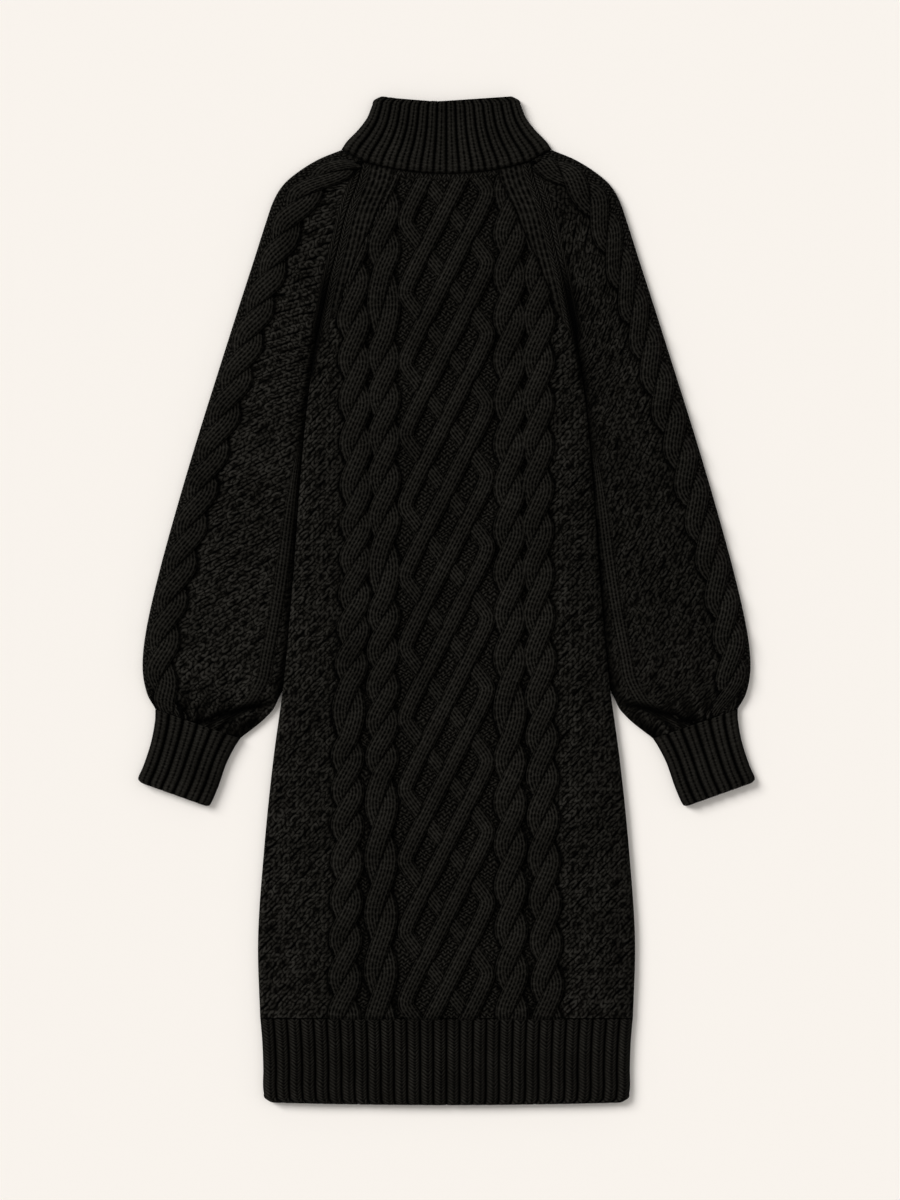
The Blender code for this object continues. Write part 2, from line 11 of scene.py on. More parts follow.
import bmesh
import bpy
import numpy as np
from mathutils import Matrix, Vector

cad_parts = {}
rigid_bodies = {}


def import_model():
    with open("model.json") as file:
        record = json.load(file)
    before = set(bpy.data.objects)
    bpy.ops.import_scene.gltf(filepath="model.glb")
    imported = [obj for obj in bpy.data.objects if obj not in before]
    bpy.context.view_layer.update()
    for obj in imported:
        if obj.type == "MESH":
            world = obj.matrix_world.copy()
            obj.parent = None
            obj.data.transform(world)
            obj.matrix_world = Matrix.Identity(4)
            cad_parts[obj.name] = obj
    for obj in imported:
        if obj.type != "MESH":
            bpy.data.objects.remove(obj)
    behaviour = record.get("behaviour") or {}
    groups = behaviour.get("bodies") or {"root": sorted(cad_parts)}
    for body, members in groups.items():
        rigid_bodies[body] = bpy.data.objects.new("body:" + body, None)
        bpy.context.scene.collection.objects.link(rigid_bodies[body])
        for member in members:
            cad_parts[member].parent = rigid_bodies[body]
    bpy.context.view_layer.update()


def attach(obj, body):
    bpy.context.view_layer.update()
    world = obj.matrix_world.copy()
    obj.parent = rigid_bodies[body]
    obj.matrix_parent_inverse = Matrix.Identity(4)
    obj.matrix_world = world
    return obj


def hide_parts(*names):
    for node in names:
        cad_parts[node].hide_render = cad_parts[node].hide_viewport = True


for old in list(bpy.data.objects):
    bpy.data.objects.remove(old)
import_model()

MM = 0.001

# ---------------------------------------------------------------- sizes of the dress

# Walls and the space between them
BACK_WALL = 4.0 * MM
FRONT_WALL = 4.0 * MM
LAYER_GAP = 0.4 * MM
PLAIN_TOP = BACK_WALL + LAYER_GAP + FRONT_WALL
BODY_CROWN = 2.0 * MM  # how much higher the middle of the body lies than its sides
SLEEVE_CROWN = 2.6 * MM
SEAM_GAP = 0.3 * MM
SIDE_LEVEL = BACK_WALL + LAYER_GAP / 2
UNDER_EDGE_INSET = 3.0 * MM
UNDER_EDGE_MIDDLE = (0.4, 0.28)  # its middle point, as shares of the inset and of the edge's height
BACK_CHAMFER = 6.0 * MM
BACK_EDGE_DROP = 0.6 * MM  # from the back's upper side to the top of its chamfer
EDGE_ROUNDING = 8.0 * MM
EDGE_LEVEL = 0.25  # height of the front's side edge, as a share of its wall
EDGE_RELIEF = 0.25  # share of their height that stitches keep at that edge
EDGE_SHARE = 0.07  # of the width of a side of the front, where its points are closer together
LINING_SHARES = (0.25, 0.75)
LINING_ROW = 12.0 * MM  # from row to row of the front's lining
PLAN_ROW = 6.0 * MM  # and of the back and of a panel's cut

# Body
COLLAR_TOP = 580.0 * MM
HEM_BOTTOM = -580.0 * MM
HEM_SEAM = -480.0 * MM
UNDERARM = 318.0 * MM
CREASE_TOP = 400.0 * MM
CENTRE_HALF = 108.0 * MM  # the front's centre ends under the middle of the outer cables
BODY_SIDE = (  # y, half_width, both in mm
    (507, 96),
    (489, 100),
    (444, 116),
    (409, 124.5),
    (360, 137),
    (318, 146),
    (254, 156.5),
    (143, 168),
    (33, 176),
    (-103, 188.5),
    (-176, 198.5),
    (-287, 210),
    (-397, 217),
    (-480, 214.5),
)

# Where a sleeve's shade is painted on the body's side: y of both ends, and how far it fades in and out
CREVICE = (240.0 * MM, 390.0 * MM, 30.0 * MM, 60.0 * MM)
CREVICE_REACH = 4.0 * MM
CREVICE_PAINTED_SHADE = 0.8

# Neckline: an arc between the raglan seams, then straight to the corner of the collar
NECK_SEAM = (96.0 * MM, 507.0 * MM)
NECK_CORNER = (121.0 * MM, 519.0 * MM)
FRONT_NECK_DROP = 14.0 * MM
BACK_NECK_RISE = 2.0 * MM
NECK_CURVE_REACH = 110.0 * MM
NECK_GAP = 0.5 * MM
NECK_RIBS_TALL = 11.0 * MM
NECK_RIBS_HALF = 60.0 * MM
NECK_SINK = 2.5 * MM  # how far the body lies lower where the collar's lip covers it
NECK_SINK_REACH = 6.0 * MM
LIP_PAINTED_SHADOW = 0.8  # how much darker cloth under the collar's lip is painted, as its shadow
COLLAR_OVERLAP = 3.0 * MM
COLLAR_LIP = 4.5 * MM

# Rope cables of the front
CABLES = {
    # top: y in mm; centre: y, x in mm; crossings: number, y in mm
    "outer_left": {
        "top": 425,
        "centre": ((420, -107.5), (-45, -107.5), (-114, -112), (-287, -114), (-460, -117.5)),
        "crossings": ((-2, 345), (0, 252), (3, 107), (8, -94), (9, -160), (12, -279), (16, -456)),
    },
    "inner_left": {
        "top": 500,
        "centre": ((420, -72), (0, -72), (-287, -75), (-460, -75.5)),
        "crossings": ((-2, 428), (-1, 382), (0, 302), (5, 71), (6, 3), (9, -120), (11, -201), (15, -457)),
    },
    "inner_right": {
        "top": 500,
        "centre": ((420, 73), (-45, 73), (-287, 73.5), (-460, 75.5)),
        "crossings": ((-4, 445), (0, 252), (7, -91), (8, -160), (14, -450)),
    },
    "outer_right": {
        "top": 425,
        "centre": ((420, 108), (230, 105), (0, 105.5), (-114, 109), (-287, 112), (-460, 116.5)),
        "crossings": ((-3, 397), (0, 252), (3, 106), (7, -91), (9, -179), (15, -464)),
    },
}

# A cable's strand: an oval tube of stockinette
STRAND_HALF = 11.4 * MM
STRAND_TALL = 4.5 * MM
STRAND_SWING = 8.0 * MM
STRAND_ROUNDNESS = 0.7  # of its turns, from round ones near 0 to pointed ones near 1
STRAND_REST = 0.6 * MM  # of its under side over the cloth, halfway from under to over
STRAND_LIFT = 2.7 * MM  # how far it rises from there over the other strand, and sinks under it
STRAND_COLUMNS = 6
STRAND_UNDER_POINTS = 4  # round its plain under side
STRAND_SINK = 0.3  # of its height, more where a strand runs out under other cloth
STRAND_SIDE_PAINTED_LIGHT = 0.25  # how much light its sides keep: they are painted darker, as shade
STRAND_SIDE_SLOPE = 2.4  # how soon it is fully lit, up from its sides, where that painted shade ends
TOUCH_PAINTED_LIGHT = 0.15  # how much light it keeps where another strand lies right over it: painted shade
TOUCH_REACH = 1.5 * MM  # height over a strand that it lies on, within which a strand is painted in shade
GROUND_REACH = 2.4 * MM  # distance beside a strand within which the ground is painted in shade
# how much darker that painted shade makes the ground
GROUND_PAINTED_SHADE = 0.75

# Central lattice
LATTICE_HALF = 47.0 * MM
LATTICE_REPEAT = 81.6 * MM
LATTICE_STRANDS = 4
LATTICE_FIRST_TURN = 225.0 * MM
LATTICE_TOP_RISE = 8.0 * MM  # from the middle of the neckline to its hidden upper end
LATTICE_MARGIN = 10.0 * MM  # of fine ground on both sides of its strands
LATTICE_OVER_RUN = 198.0 * MM
LATTICE_CYCLE = LATTICE_REPEAT * LATTICE_STRANDS
LATTICE_STRAND_HALF = 9.2 * MM
LATTICE_STRAND_TALL = 3.8 * MM
LATTICE_REST = -0.2 * MM
LATTICE_LIFT = 2.3 * MM
LATTICE_ARCH = 0.25  # how far a strand that lies over others bows up, as a share of the lift
LATTICE_ROUNDNESS = 0.993
LATTICE_COLUMNS = 5

# Stitches
STITCH_TALL = 5.0 * MM
PURL_WIDE = 7.6 * MM
PURL_TALL = 5.2 * MM
SEED_WIDE = 5.6 * MM
SEED_TALL = 5.8 * MM
BAND_COLUMN = 5.6 * MM
BAND_STITCH = 8.5 * MM
NECK_COLUMN = 10.4 * MM
SAMPLES_PER_STITCH = 3
SAMPLES_PER_COLUMN = 3
STRAND_STITCH = 6.6 * MM
SAMPLES_PER_STRAND_STITCH = 4
LEG_RISE = 0.8 * MM  # of a strand's legs over its grooves
# How high yarn stands over its holes, and how high the holes lie over the plain cloth
PURL_RISE = 1.9 * MM
SEED_RISE, SEED_LEVEL = 2.6 * MM, 0.2 * MM
BAND_RISE, BAND_LEVEL = 1.7 * MM, 1.6 * MM
SEED_PAINTED_SHADE = (0.02, 0.15)  # painted shade of a side's seed stitch where it slopes away from the light, at its left and its right
SLEEVE_SEED_PAINTED_SHADE = (0.02, 0.14)  # the same painted shade on the left sleeve and on the right one
BAND_FOOT = 290.0 * MM
BAND_FOOT_FADE = 20.0 * MM
BAND_SIDE_FADE = 5.0 * MM
RAGLAN_BAND = ((484, 61.5), (455, 76), (432, 86.5), (397, 102), (357, 118.5), (322, 134), (290, 152))

# Sleeves
SLEEVE_SECTIONS = (  # inner_y, clear of the body side, outer_x, outer_y, all in mm
    (506.6, 0.3, 121, 518.6),
    (488, 0.3, 147, 508),
    (467, 0.3, 170, 494),
    (444, 0.3, 187.5, 479),
    (414, 0.3, 199, 460.5),
    (374, 0.3, 208, 435),
    (325, 0.3, 222, 391),
    (282, 0.9, 238.5, 340),
    (230, 1.0, 261.5, 267.5),
    (161, 1.0, 284, 196),
    (81, 1.0, 307, 119),
    (0, 1.0, 329, 39.5),
    (-68, 1.0, 344.5, -27),
    (-114, 4.3, 350, -73),
    (-135, 15.5, 345.5, -105),
    (-158.7, 41.5, 335.2, -124.8),
)
SLEEVE_LAST = len(SLEEVE_SECTIONS) - 1
SLEEVE_ROWS = 440
SLEEVE_COLUMNS = 84
SLEEVE_LINING_STATIONS = 26
ARMHOLE_END = 6.15
SLEEVE_CABLE_FROM_EDGE = ((0, 27), (5, 27), (7, 23.5), (15, 23))
SLEEVE_CABLE_PITCH = 44.4 * MM
SLEEVE_CABLE_CROSSING_Y = 150.0 * MM
UNDERARM_BAND = (  # station, share of the sleeve's width from its inner edge
    (8.6, 0.05),
    (9.0, 0.068),
    (9.9, 0.09),
    (10.8, 0.11),
    (12, 0.15),
    (13, 0.165),
    (14, 0.23),
    (15, 0.376),
)
UNDERARM_BAND_HALF = 8.0 * MM
UNDERARM_BAND_RISE = 1.2 * MM
SEAM_COLUMN = 9.0 * MM
INNER_SLOPE = 26.0 * MM
TUCK = 3.4 * MM  # how far the sleeve's inner edge lies under the body's rounded side
SEAM_LAP = 1.2 * MM
# Stations of both ends of the lap, the tuck and the crevice of painted shade, and how far each fades in and
# out
LAP_STATIONS = (5.2, 13.1, 0.5, 0.7)
TUCK_STATIONS = (ARMHOLE_END + 0.1, 13.1, 0.7, 0.7)
CREVICE_STATIONS = (4.4, 13.3, 1.4, 0.7)
SLEEVE_CREVICE_REACH = 8.5 * MM
SLEEVE_CREVICE_PAINTED_SHADE = 0.95
TUCK_LEVEL = 0.9 * MM  # height of the tucked edge
TUCK_LINING_LEVEL = 2.4 * MM
TUCK_SLOPE = 0.55  # how steeply the cloth rises from that edge
GATHER_START = 12.6
GATHER_FLATTER = 0.8  # share of the sleeve's crown that goes at the cuff
GATHER_SINKS_CABLE = 0.45  # share of the cable's height that goes there
GATHER_SMOOTHS = 0.5  # share of the stitches' height that goes there
PUCKERS = 7
PUCKER_DEPTH = 3.0 * MM
# how much darker a pucker's hollow is painted, as shade
PUCKER_PAINTED_SHADE = 0.6
FOLD_START = 12.8  # station where the slanted fold leaves the inner edge
FOLD_SLOPE = 0.25
FOLD_DEPTH = 3.4 * MM
# how much darker the fold's valley is painted, as shade
FOLD_PAINTED_SHADE = 0.8
FOLD_VALLEY = (-0.05, 0.06)  # its place beside the fold's line and its half width, as shares of the sleeve
FOLD_RIDGE = (0.08, 0.07)
FOLD_RIDGE_SHARE = 0.5  # height of the ridge, as a share of the fold's depth
WIDE_SECTION = 100.0 * MM
LEAST_RISE = 0.6 * MM  # of the sleeve's knitted side over its side edge

# Cuffs, collar and hem
CUFF_SECTIONS = (  # inner_x, inner_y, outer_x, outer_y, all in mm
    (237.5, -158.7, 335.2, -124.8),
    (244.4, -169.6, 335.8, -139.7),
    (253.6, -188.0, 340.4, -163.9),
    (262.8, -214.5, 348.5, -189.0),
    (271.3, -233.8, 354.9, -204.0),
    (275.6, -236.6, 352.4, -209.2),
)
CUFF_RIBS = 6
CUFF_ROWS = 58
COLLAR_SECTIONS = (  # share of the height, half_width in mm
    (0.0, 121),
    (0.14, 115.5),
    (0.37, 102),
    (0.6, 91.5),
    (0.83, 85.7),
    (0.95, 82.2),
    (1.0, 76),
)
COLLAR_RIBS = 16
COLLAR_ROWS = 46
COLLAR_TOP_DIP = 6.0 * MM
COLLAR_HIDDEN_DIP = 1.2  # of the top dip, for the back and the lining, which stay out of sight
COLLAR_HIDDEN_REACH = 0.94
COLLAR_FOOT_VALLEY = 0.45  # how deep its ribs are at the foot
COLLAR_FOOT_SHARE = 0.45  # of its height, above which they are fully deep
HEM_SECTIONS = (  # y, half_width, both in mm
    (-480, 214.5),
    (-508, 212.2),
    (-540, 211),
    (-569, 210.5),
    (-576, 209),
    (-580, 203),
)
HEM_RIBS = 28
HEM_ROWS = 60
HEM_SIDE_RISE = 3.0 * MM
HEM_LIP = 3.0 * MM
HEM_LAP = 6.0 * MM  # how far the strands run out over the hem's first rows
RIB_SAMPLES = 12
RIB_RISE = 4.6 * MM
RIB_LEG_RISE = 1.1 * MM
RIB_ROW = 3.8 * MM
RIB_VALLEY_SHARE = 0.45  # how far a rib's valley lies under the plain cloth, as a share of its rise
RIB_LIP_DROP = 0.5 * MM  # from a rib's valleys down to the edge of a lip
# how much light the rounded lip keeps: it is painted darker, as shade
RIB_LIP_PAINTED_LIGHT = 0.3
# open: how much light a rib's valleys keep, the rest painted in as shade
COLLAR_STYLE = {"edge": 0.035, "centre": 0.5, "smooth": 1.0, "open": 0.2, "lip": COLLAR_LIP}
CUFF_STYLE = {"edge": 0.035, "centre": 0.5, "smooth": 1.0, "open": 0.25, "lip": 0.0}
HEM_STYLE = {"edge": 0.02, "centre": 0.62, "smooth": 0.0, "open": 0.5, "lip": HEM_LIP}


# ---------------------------------------------------------------- curves and profiles


def smooth(at, knots, values):
    """The cubic curve through the knots, read at each value of at."""
    knots, values = np.asarray(knots, float), np.asarray(values, float)
    if knots[0] > knots[-1]:
        knots, values = knots[::-1], values[::-1]
    slopes = np.gradient(values, knots)
    i = np.clip(np.searchsorted(knots, at) - 1, 0, len(knots) - 2)
    span = knots[i + 1] - knots[i]
    t = np.clip((at - knots[i]) / span, 0.0, 1.0)
    rise = values[i + 1] - values[i]
    start, end = slopes[i] * span, slopes[i + 1] * span
    return values[i] + t * (start + t * (3 * rise - 2 * start - end + t * (start + end - 2 * rise)))


def mix(first, second, share):
    """From first, where share is 0, to second, where it is 1."""
    return first + share * (second - first)


def curve(at, table):
    """A table of two columns, as a smooth curve of the second over the first."""
    return smooth(at, *np.array(table, float).T)


def curve_in_mm(at, table):
    """The same for a table of two sizes in mm."""
    return curve(np.asarray(at) / MM, table) * MM


def sections_at(stations, table):
    """Each column of a table of sections in mm, as a smooth curve over the numbers of its rows."""
    return [smooth(stations, np.arange(len(table)), column) * MM for column in np.array(table, float).T]


def run_along(points):
    """Distance from the first of a line of points to each of them."""
    steps = np.linalg.norm(np.diff(points, axis=0), axis=1)
    return np.concatenate([[0.0], np.cumsum(steps)])


def ease(value):
    """0 up to 0 and 1 from 1 on, with a smooth step between them."""
    value = np.clip(value, 0.0, 1.0)
    return value * value * (3 - 2 * value)


def between(at, start, end, fade_in, fade_out):
    """1 between start and end. It fades in after the start and out before the end."""
    return ease((at - start) / fade_in) * ease((end - at) / fade_out)


def dome(distance):
    """1 at the centre, 0 at a distance of 1 and beyond."""
    return np.sqrt(np.clip(1.0 - np.asarray(distance) ** 2, 0.0, 1.0))


def body_half(y):
    return curve_in_mm(y, BODY_SIDE)


def neckline(x, drop):
    """Height of the neckline at x: an arc between the raglan seams, then straight to the corner."""
    seam_x, seam_y = NECK_SEAM
    corner_x, corner_y = NECK_CORNER
    out = np.abs(x)
    arc = seam_y - drop * (1 - np.minimum(out / seam_x, 1.0) ** 2)
    beyond = np.maximum(out - seam_x, 0.0) / (corner_x - seam_x)
    return arc + beyond * (corner_y - seam_y)


def crease(y):
    """1 high on the raglan seam, 0 from the underarm down, where the side edge folds to the back."""
    return ease((y - UNDERARM) / (CREASE_TOP - UNDERARM))


def seam_edge_height(creased):
    """Height of a front's side edge: low where it folds to the back, full on the raglan seam."""
    return BACK_WALL + LAYER_GAP + FRONT_WALL * mix(EDGE_LEVEL, 1, creased)


def bent_to_neck(x, y, drop):
    """Rows near the neck bend from straight to the line of the neckline between the raglan seams."""
    seam_x, top = NECK_SEAM
    share = ease((y - (top - NECK_CURVE_REACH)) / NECK_CURVE_REACH)
    within = np.clip(x, -seam_x, seam_x)
    return y + share * (neckline(within, drop) - top) - NECK_GAP * (y >= top)


# ---------------------------------------------------------------- values over a surface


class Field:
    """A value that nodes work out at each point of a surface. It adds and multiplies as a number does."""

    def __init__(self, tree, socket):
        self.tree = tree
        self.socket = socket

    def __add__(self, other):
        return worked("ADD", self, other)

    def __radd__(self, other):
        return worked("ADD", other, self)

    def __sub__(self, other):
        return worked("SUBTRACT", self, other)

    def __rsub__(self, other):
        return worked("SUBTRACT", other, self)

    def __mul__(self, other):
        return worked("MULTIPLY", self, other)

    def __rmul__(self, other):
        return worked("MULTIPLY", other, self)

    def __truediv__(self, other):
        return worked("DIVIDE", self, other)


PLAIN_SUMS = {
    "SINE": np.sin,
    "COSINE": np.cos,
    "EXPONENT": np.exp,
    "SQRT": np.sqrt,
    "ABSOLUTE": np.abs,
    "FLOOR": np.floor,
    "ROUND": np.round,
    "MAXIMUM": np.maximum,
    "MINIMUM": np.minimum,
    "FLOORED_MODULO": np.mod,
}


def worked(operation, *values):
    """A sum over values: by numpy where they are numbers or arrays, by a Math node where one is a Field."""
    fields = [value for value in values if isinstance(value, Field)]
    if not fields:
        return PLAIN_SUMS[operation](*values)
    tree = fields[0].tree
    node = tree.nodes.new("ShaderNodeMath")
    node.operation = operation
    for socket, value in zip(node.inputs, values):
        if isinstance(value, Field):
            tree.links.new(value.socket, socket)
        else:
            socket.default_value = value
    return Field(tree, node.outputs[0])


def wave(turns):
    """0 to 1 and back, once for each whole turn, and 1 at whole numbers."""
    return 0.5 + 0.5 * worked("COSINE", 2 * math.pi * turns)


def fading(distance):
    """1 at 0, and less and less away from it."""
    return worked("EXPONENT", -1.0 * distance * distance)


def chance(first, second, which=0.0):
    """An even spread of values from 0 to 1, the same each time, for a pair of whole numbers.

    Its factors have no meaning of their own. They only share no common measure.
    """
    spread = worked("SINE", 2.399 * first + 4.113 * second + 1.7 * which)
    return worked("FLOORED_MODULO", 91.7 * spread, 1.0)


def wander(x, y, size):
    """A slow uneven value between -1 and 1, which keeps hand-knitted rows from being exact.

    It adds two waves of unlike lengths, each bent by a third and a fourth.
    """
    bent_x = worked("SINE", 1.3 / size * y + 0.7)
    bent_y = worked("SINE", 0.9 / size * x + 2.1)
    first = worked("SINE", 1.7 / size * x + 1.9 * bent_x)
    second = worked("SINE", 2.1 / size * y + 1.6 * bent_y)
    return 0.5 * (first + second)


# ---------------------------------------------------------------- stitches, 0 in a hole to 1 on the yarn

# These heights also set the wool's colour: holes, grooves, gaps and the lines where loops meet are painted
# dark, as shade
# Sizes without a unit are in columns, or in rows, of the stitch that they belong to
LEG_SLANT = 1.5  # rows that a knit leg rises across half of its column
KNIT_LEVEL = 0.78
KNIT_GAP = 0.6  # depth of the gap between two stitches of a column
KNIT_GROOVE = 0.22  # width of the groove between the legs, in half columns
KNIT_GROOVE_DEPTHS = (0.25, 0.6)  # on a leg, and where it is crossed by a gap
KNIT_BORDER = 0.15  # width of the border to the next column, in half columns
KNIT_BORDER_DEPTH = 0.4

STRAND_LEVEL = 0.795
STRAND_GAP = 0.15
DASH_WIDE = 0.5
DASH_DEPTHS = (0.14, 0.88)  # of the groove between two columns, and of a dash in it

PURL_SWING = 0.3  # rows that a ridge waves up and down
PURL_BREAK = 0.35  # how far a ridge is broken at each stitch
PURL_HOLE, PURL_RIDGE, PURL_ROUND = 0.14, 0.3, 0.4  # level of a hole, and what a ridge adds to it

LOOP_STRAY = 0.3  # how far a loop strays from its place
LOOP_LEANS = (0.25, 0.95)  # least and most, in columns for each row
LOOP_SQUEEZE = 0.84  # under 1, so that a loop is taller than it is wide
LOOP_SKEW = 0.25  # how far its sides shift up and down with its lean
LOOP_RADIUS = 0.5
LOOP_SOFTNESS = 0.01  # rounds off the middle of its hole
LOOP_HEIGHTS = (0.85, 1.05)  # least and most
YARN_HALF = 0.37
ANY_WAY = 6.28  # the angles that a loop's opening may face
OPENING_PLACE = 0.55  # how far from a loop's middle its opening is
OPENING_WIDE = 0.4
OPENING_DEPTH = 0.8
OUTLINE_WIDE = 0.14  # of the line where two loops meet, sunk and painted dark as shade
OUTLINE_DEPTH = 0.55
SEED_LEVELS = (0.08, 0.89)  # of a hole and of the top of a loop


def knit_stitches(column, row):
    """Stockinette: each column is a V of two long slanted legs, with a groove between them."""
    out = worked("ABSOLUTE", 2.0 * worked("FLOORED_MODULO", column, 1.0) - 1.0)
    gap = wave(row - LEG_SLANT * out + 0.3 * wander(column, row, 2.0) + 0.5)
    middle = fading(out / KNIT_GROOVE) * mix(*KNIT_GROOVE_DEPTHS, gap)
    border = KNIT_BORDER_DEPTH * fading((out - 1.0) / KNIT_BORDER)
    return (KNIT_LEVEL - middle - border) * (1.0 - KNIT_GAP * gap * gap)


def strand_stitches(column, row):
    """Stockinette pulled tight along a strand: each column has a row of long dashes, gaps painted dark as
    shade.
    """
    from_groove = worked("ABSOLUTE", 2.0 * worked("FLOORED_MODULO", column, 1.0) - 1.0)
    number = worked("FLOOR", column)
    stitch = row + 0.5 * number + 0.35 * wander(2.0 * number, row, 1.2)
    dashes = worked("SQRT", wave(stitch)) * mix(0.5, 1.0, chance(number, worked("ROUND", stitch)))
    groove = fading(from_groove / DASH_WIDE) * mix(*DASH_DEPTHS, dashes)
    gap = wave(stitch - 0.5 * from_groove + 0.5)
    return (STRAND_LEVEL - groove) * (1.0 - STRAND_GAP * gap)


def purl_stitches(column, row):
    """Reverse stockinette: bold wavy ridges, a little broken at each stitch."""
    uneven = wander(column, 1.6 * row, 1.5)
    swing = worked("SINE", 2 * math.pi * (column + 0.35 * uneven)) + wander(column, row, 2.2)
    ridge = wave(row - PURL_SWING * swing)
    broken = mix(1.0 - PURL_BREAK, 1.0, wave(2.0 * column + 0.7 * uneven + 0.5))
    return (PURL_HOLE + PURL_RIDGE * ridge + PURL_ROUND * worked("SQRT", ridge)) * broken


def seed_loop(across, along, loop, loop_row):
    """Height of the yarn of one bent loop, at a place from where the loop belongs.

    Each loop strays, leans and opens in its own way, by its numbers across and up.
    """
    across = across - LOOP_STRAY * (chance(loop, loop_row) - 0.5)
    along = along - LOOP_STRAY * (chance(loop, loop_row, 1.0) - 0.5)
    lean = mix(*LOOP_LEANS, chance(loop, loop_row, 2.0))
    across = across - lean * along
    along = LOOP_SQUEEZE * (along + LOOP_SKEW * lean * across)
    turn = ANY_WAY * chance(loop, loop_row, 3.0)
    radius = worked("SQRT", across * across + along * along + LOOP_SOFTNESS)
    from_yarn = (radius - LOOP_RADIUS) / YARN_HALF
    whole = worked("MAXIMUM", 1.0 - from_yarn * from_yarn, 0.0)
    beside = fading((across - OPENING_PLACE * worked("COSINE", turn)) / OPENING_WIDE)
    opening = beside * fading((along - OPENING_PLACE * worked("SINE", turn)) / OPENING_WIDE)
    tall = mix(*LOOP_HEIGHTS, chance(loop, loop_row, 4.0))
    return worked("SQRT", whole) * tall * (1.0 - OPENING_DEPTH * opening)


def seed_stitches(column, row):
    """Seed stitch: a bent loop on every other stitch, shifted by one from each row to the next.

    The loops lean to the right and so line up in rows that rise to the right.
    """
    shifted = column + 0.2 * wander(column, row, 3.0)
    level = row + 0.15 * wander(row, column, 4.0)
    highest, second = 0.0, 0.0
    for above in (0.0, 1.0):
        loop_row = worked("FLOOR", level) + above
        shift = worked("FLOORED_MODULO", loop_row, 2.0)
        for beyond in (0.0, 2.0):
            loop = 2.0 * worked("FLOOR", 0.5 * (shifted - shift)) + shift + beyond
            height = seed_loop(shifted - loop, level - loop_row, loop, loop_row)
            second = worked("MAXIMUM", second, worked("MINIMUM", highest, height))
            highest = worked("MAXIMUM", highest, height)
    outline = fading((highest - second) / OUTLINE_WIDE)
    return mix(*SEED_LEVELS, highest) * (1.0 - OUTLINE_DEPTH * outline)


def stitches(across, along, column, row, seeded, knitted, stranded):
    """The knitting of a place, from shares of seed stitch, knit columns and strands. The rest is purl."""
    purl = purl_stitches(across / PURL_WIDE, along / PURL_TALL)
    ground = mix(purl, seed_stitches(across / SEED_WIDE, along / SEED_TALL), seeded)
    ground = mix(ground, knit_stitches(column, row), knitted)
    return mix(ground, strand_stitches(column, row), stranded)


def within_rib(through, edge):
    """Place across a rib from 0 to 1. edge is half of the valley, as a share of a rib's pitch."""
    return np.clip((np.mod(through, 1.0) - edge) / (1 - 2 * edge), 0.0, 1.0)


def rib_profile(through, edge):
    """A rib across its pitch: 0 in the valley, 1 on the round column of knit stitches."""
    return dome(2 * within_rib(through, edge) - 1) ** 0.6


def rib_column(through, edge, centre):
    """Column across a rib, so that its two legs meet at centre, and its valley is no part of it."""
    inside = within_rib(through, edge)
    even = np.where(inside < centre, 0.5 * inside / centre, 1 - 0.5 * (1 - inside) / (1 - centre))
    return np.floor(through) + even


# ---------------------------------------------------------------- objects and materials


def put(name, data):
    """A new object of the scene."""
    made = bpy.data.objects.new(name, data)
    bpy.context.scene.collection.objects.link(made)
    return made


def new_material(name, values):
    """A material and its surface, with values for the surface's own sockets."""
    material = bpy.data.materials.new(name)
    material.use_nodes = True
    surface = material.node_tree.nodes["Principled BSDF"]
    for title, value in values.items():
        surface.inputs[title].default_value = value
    return material, surface


# ---------------------------------------------------------------- meshes

END_ANGLE = 78.0  # degrees between two faces from which the edge between them is an end of the cloth
PLAIN_PAINTED_LIGHT = 0.8  # share of light that the plain knitting of a lining keeps, the rest painted in as shade


class Knitting:
    """What is knitted at each point of a mesh.

    across and along are distances over the cloth, column and row count knit stitches, and seeded,
    knitted and stranded are shares of those stitches. painted_light is shade painted into the wool's
    colour: 0 where a place lies deep in shade, 1 where it is fully lit.
    """

    def __init__(
        self, across=0.0, along=0.0, column=0.0, row=0.0, seeded=0.0, knitted=0.0, stranded=0.0, painted_light=1.0
    ):
        self.ground = (across, along, painted_light)
        self.columns = (column, row, 0.0)
        self.shares = (seeded, knitted, stranded)

    def crest(self):
        """How high the yarn stands, from 0 in a hole to 1."""
        return stitches(*self.ground[:2], *self.columns[:2], *self.shares)

    def shade(self, painted_light):
        """Paints shade into the wool's colour: multiplies the painted light by a share that stays lit."""
        across, along, already = self.ground
        self.ground = (across, along, already * painted_light)


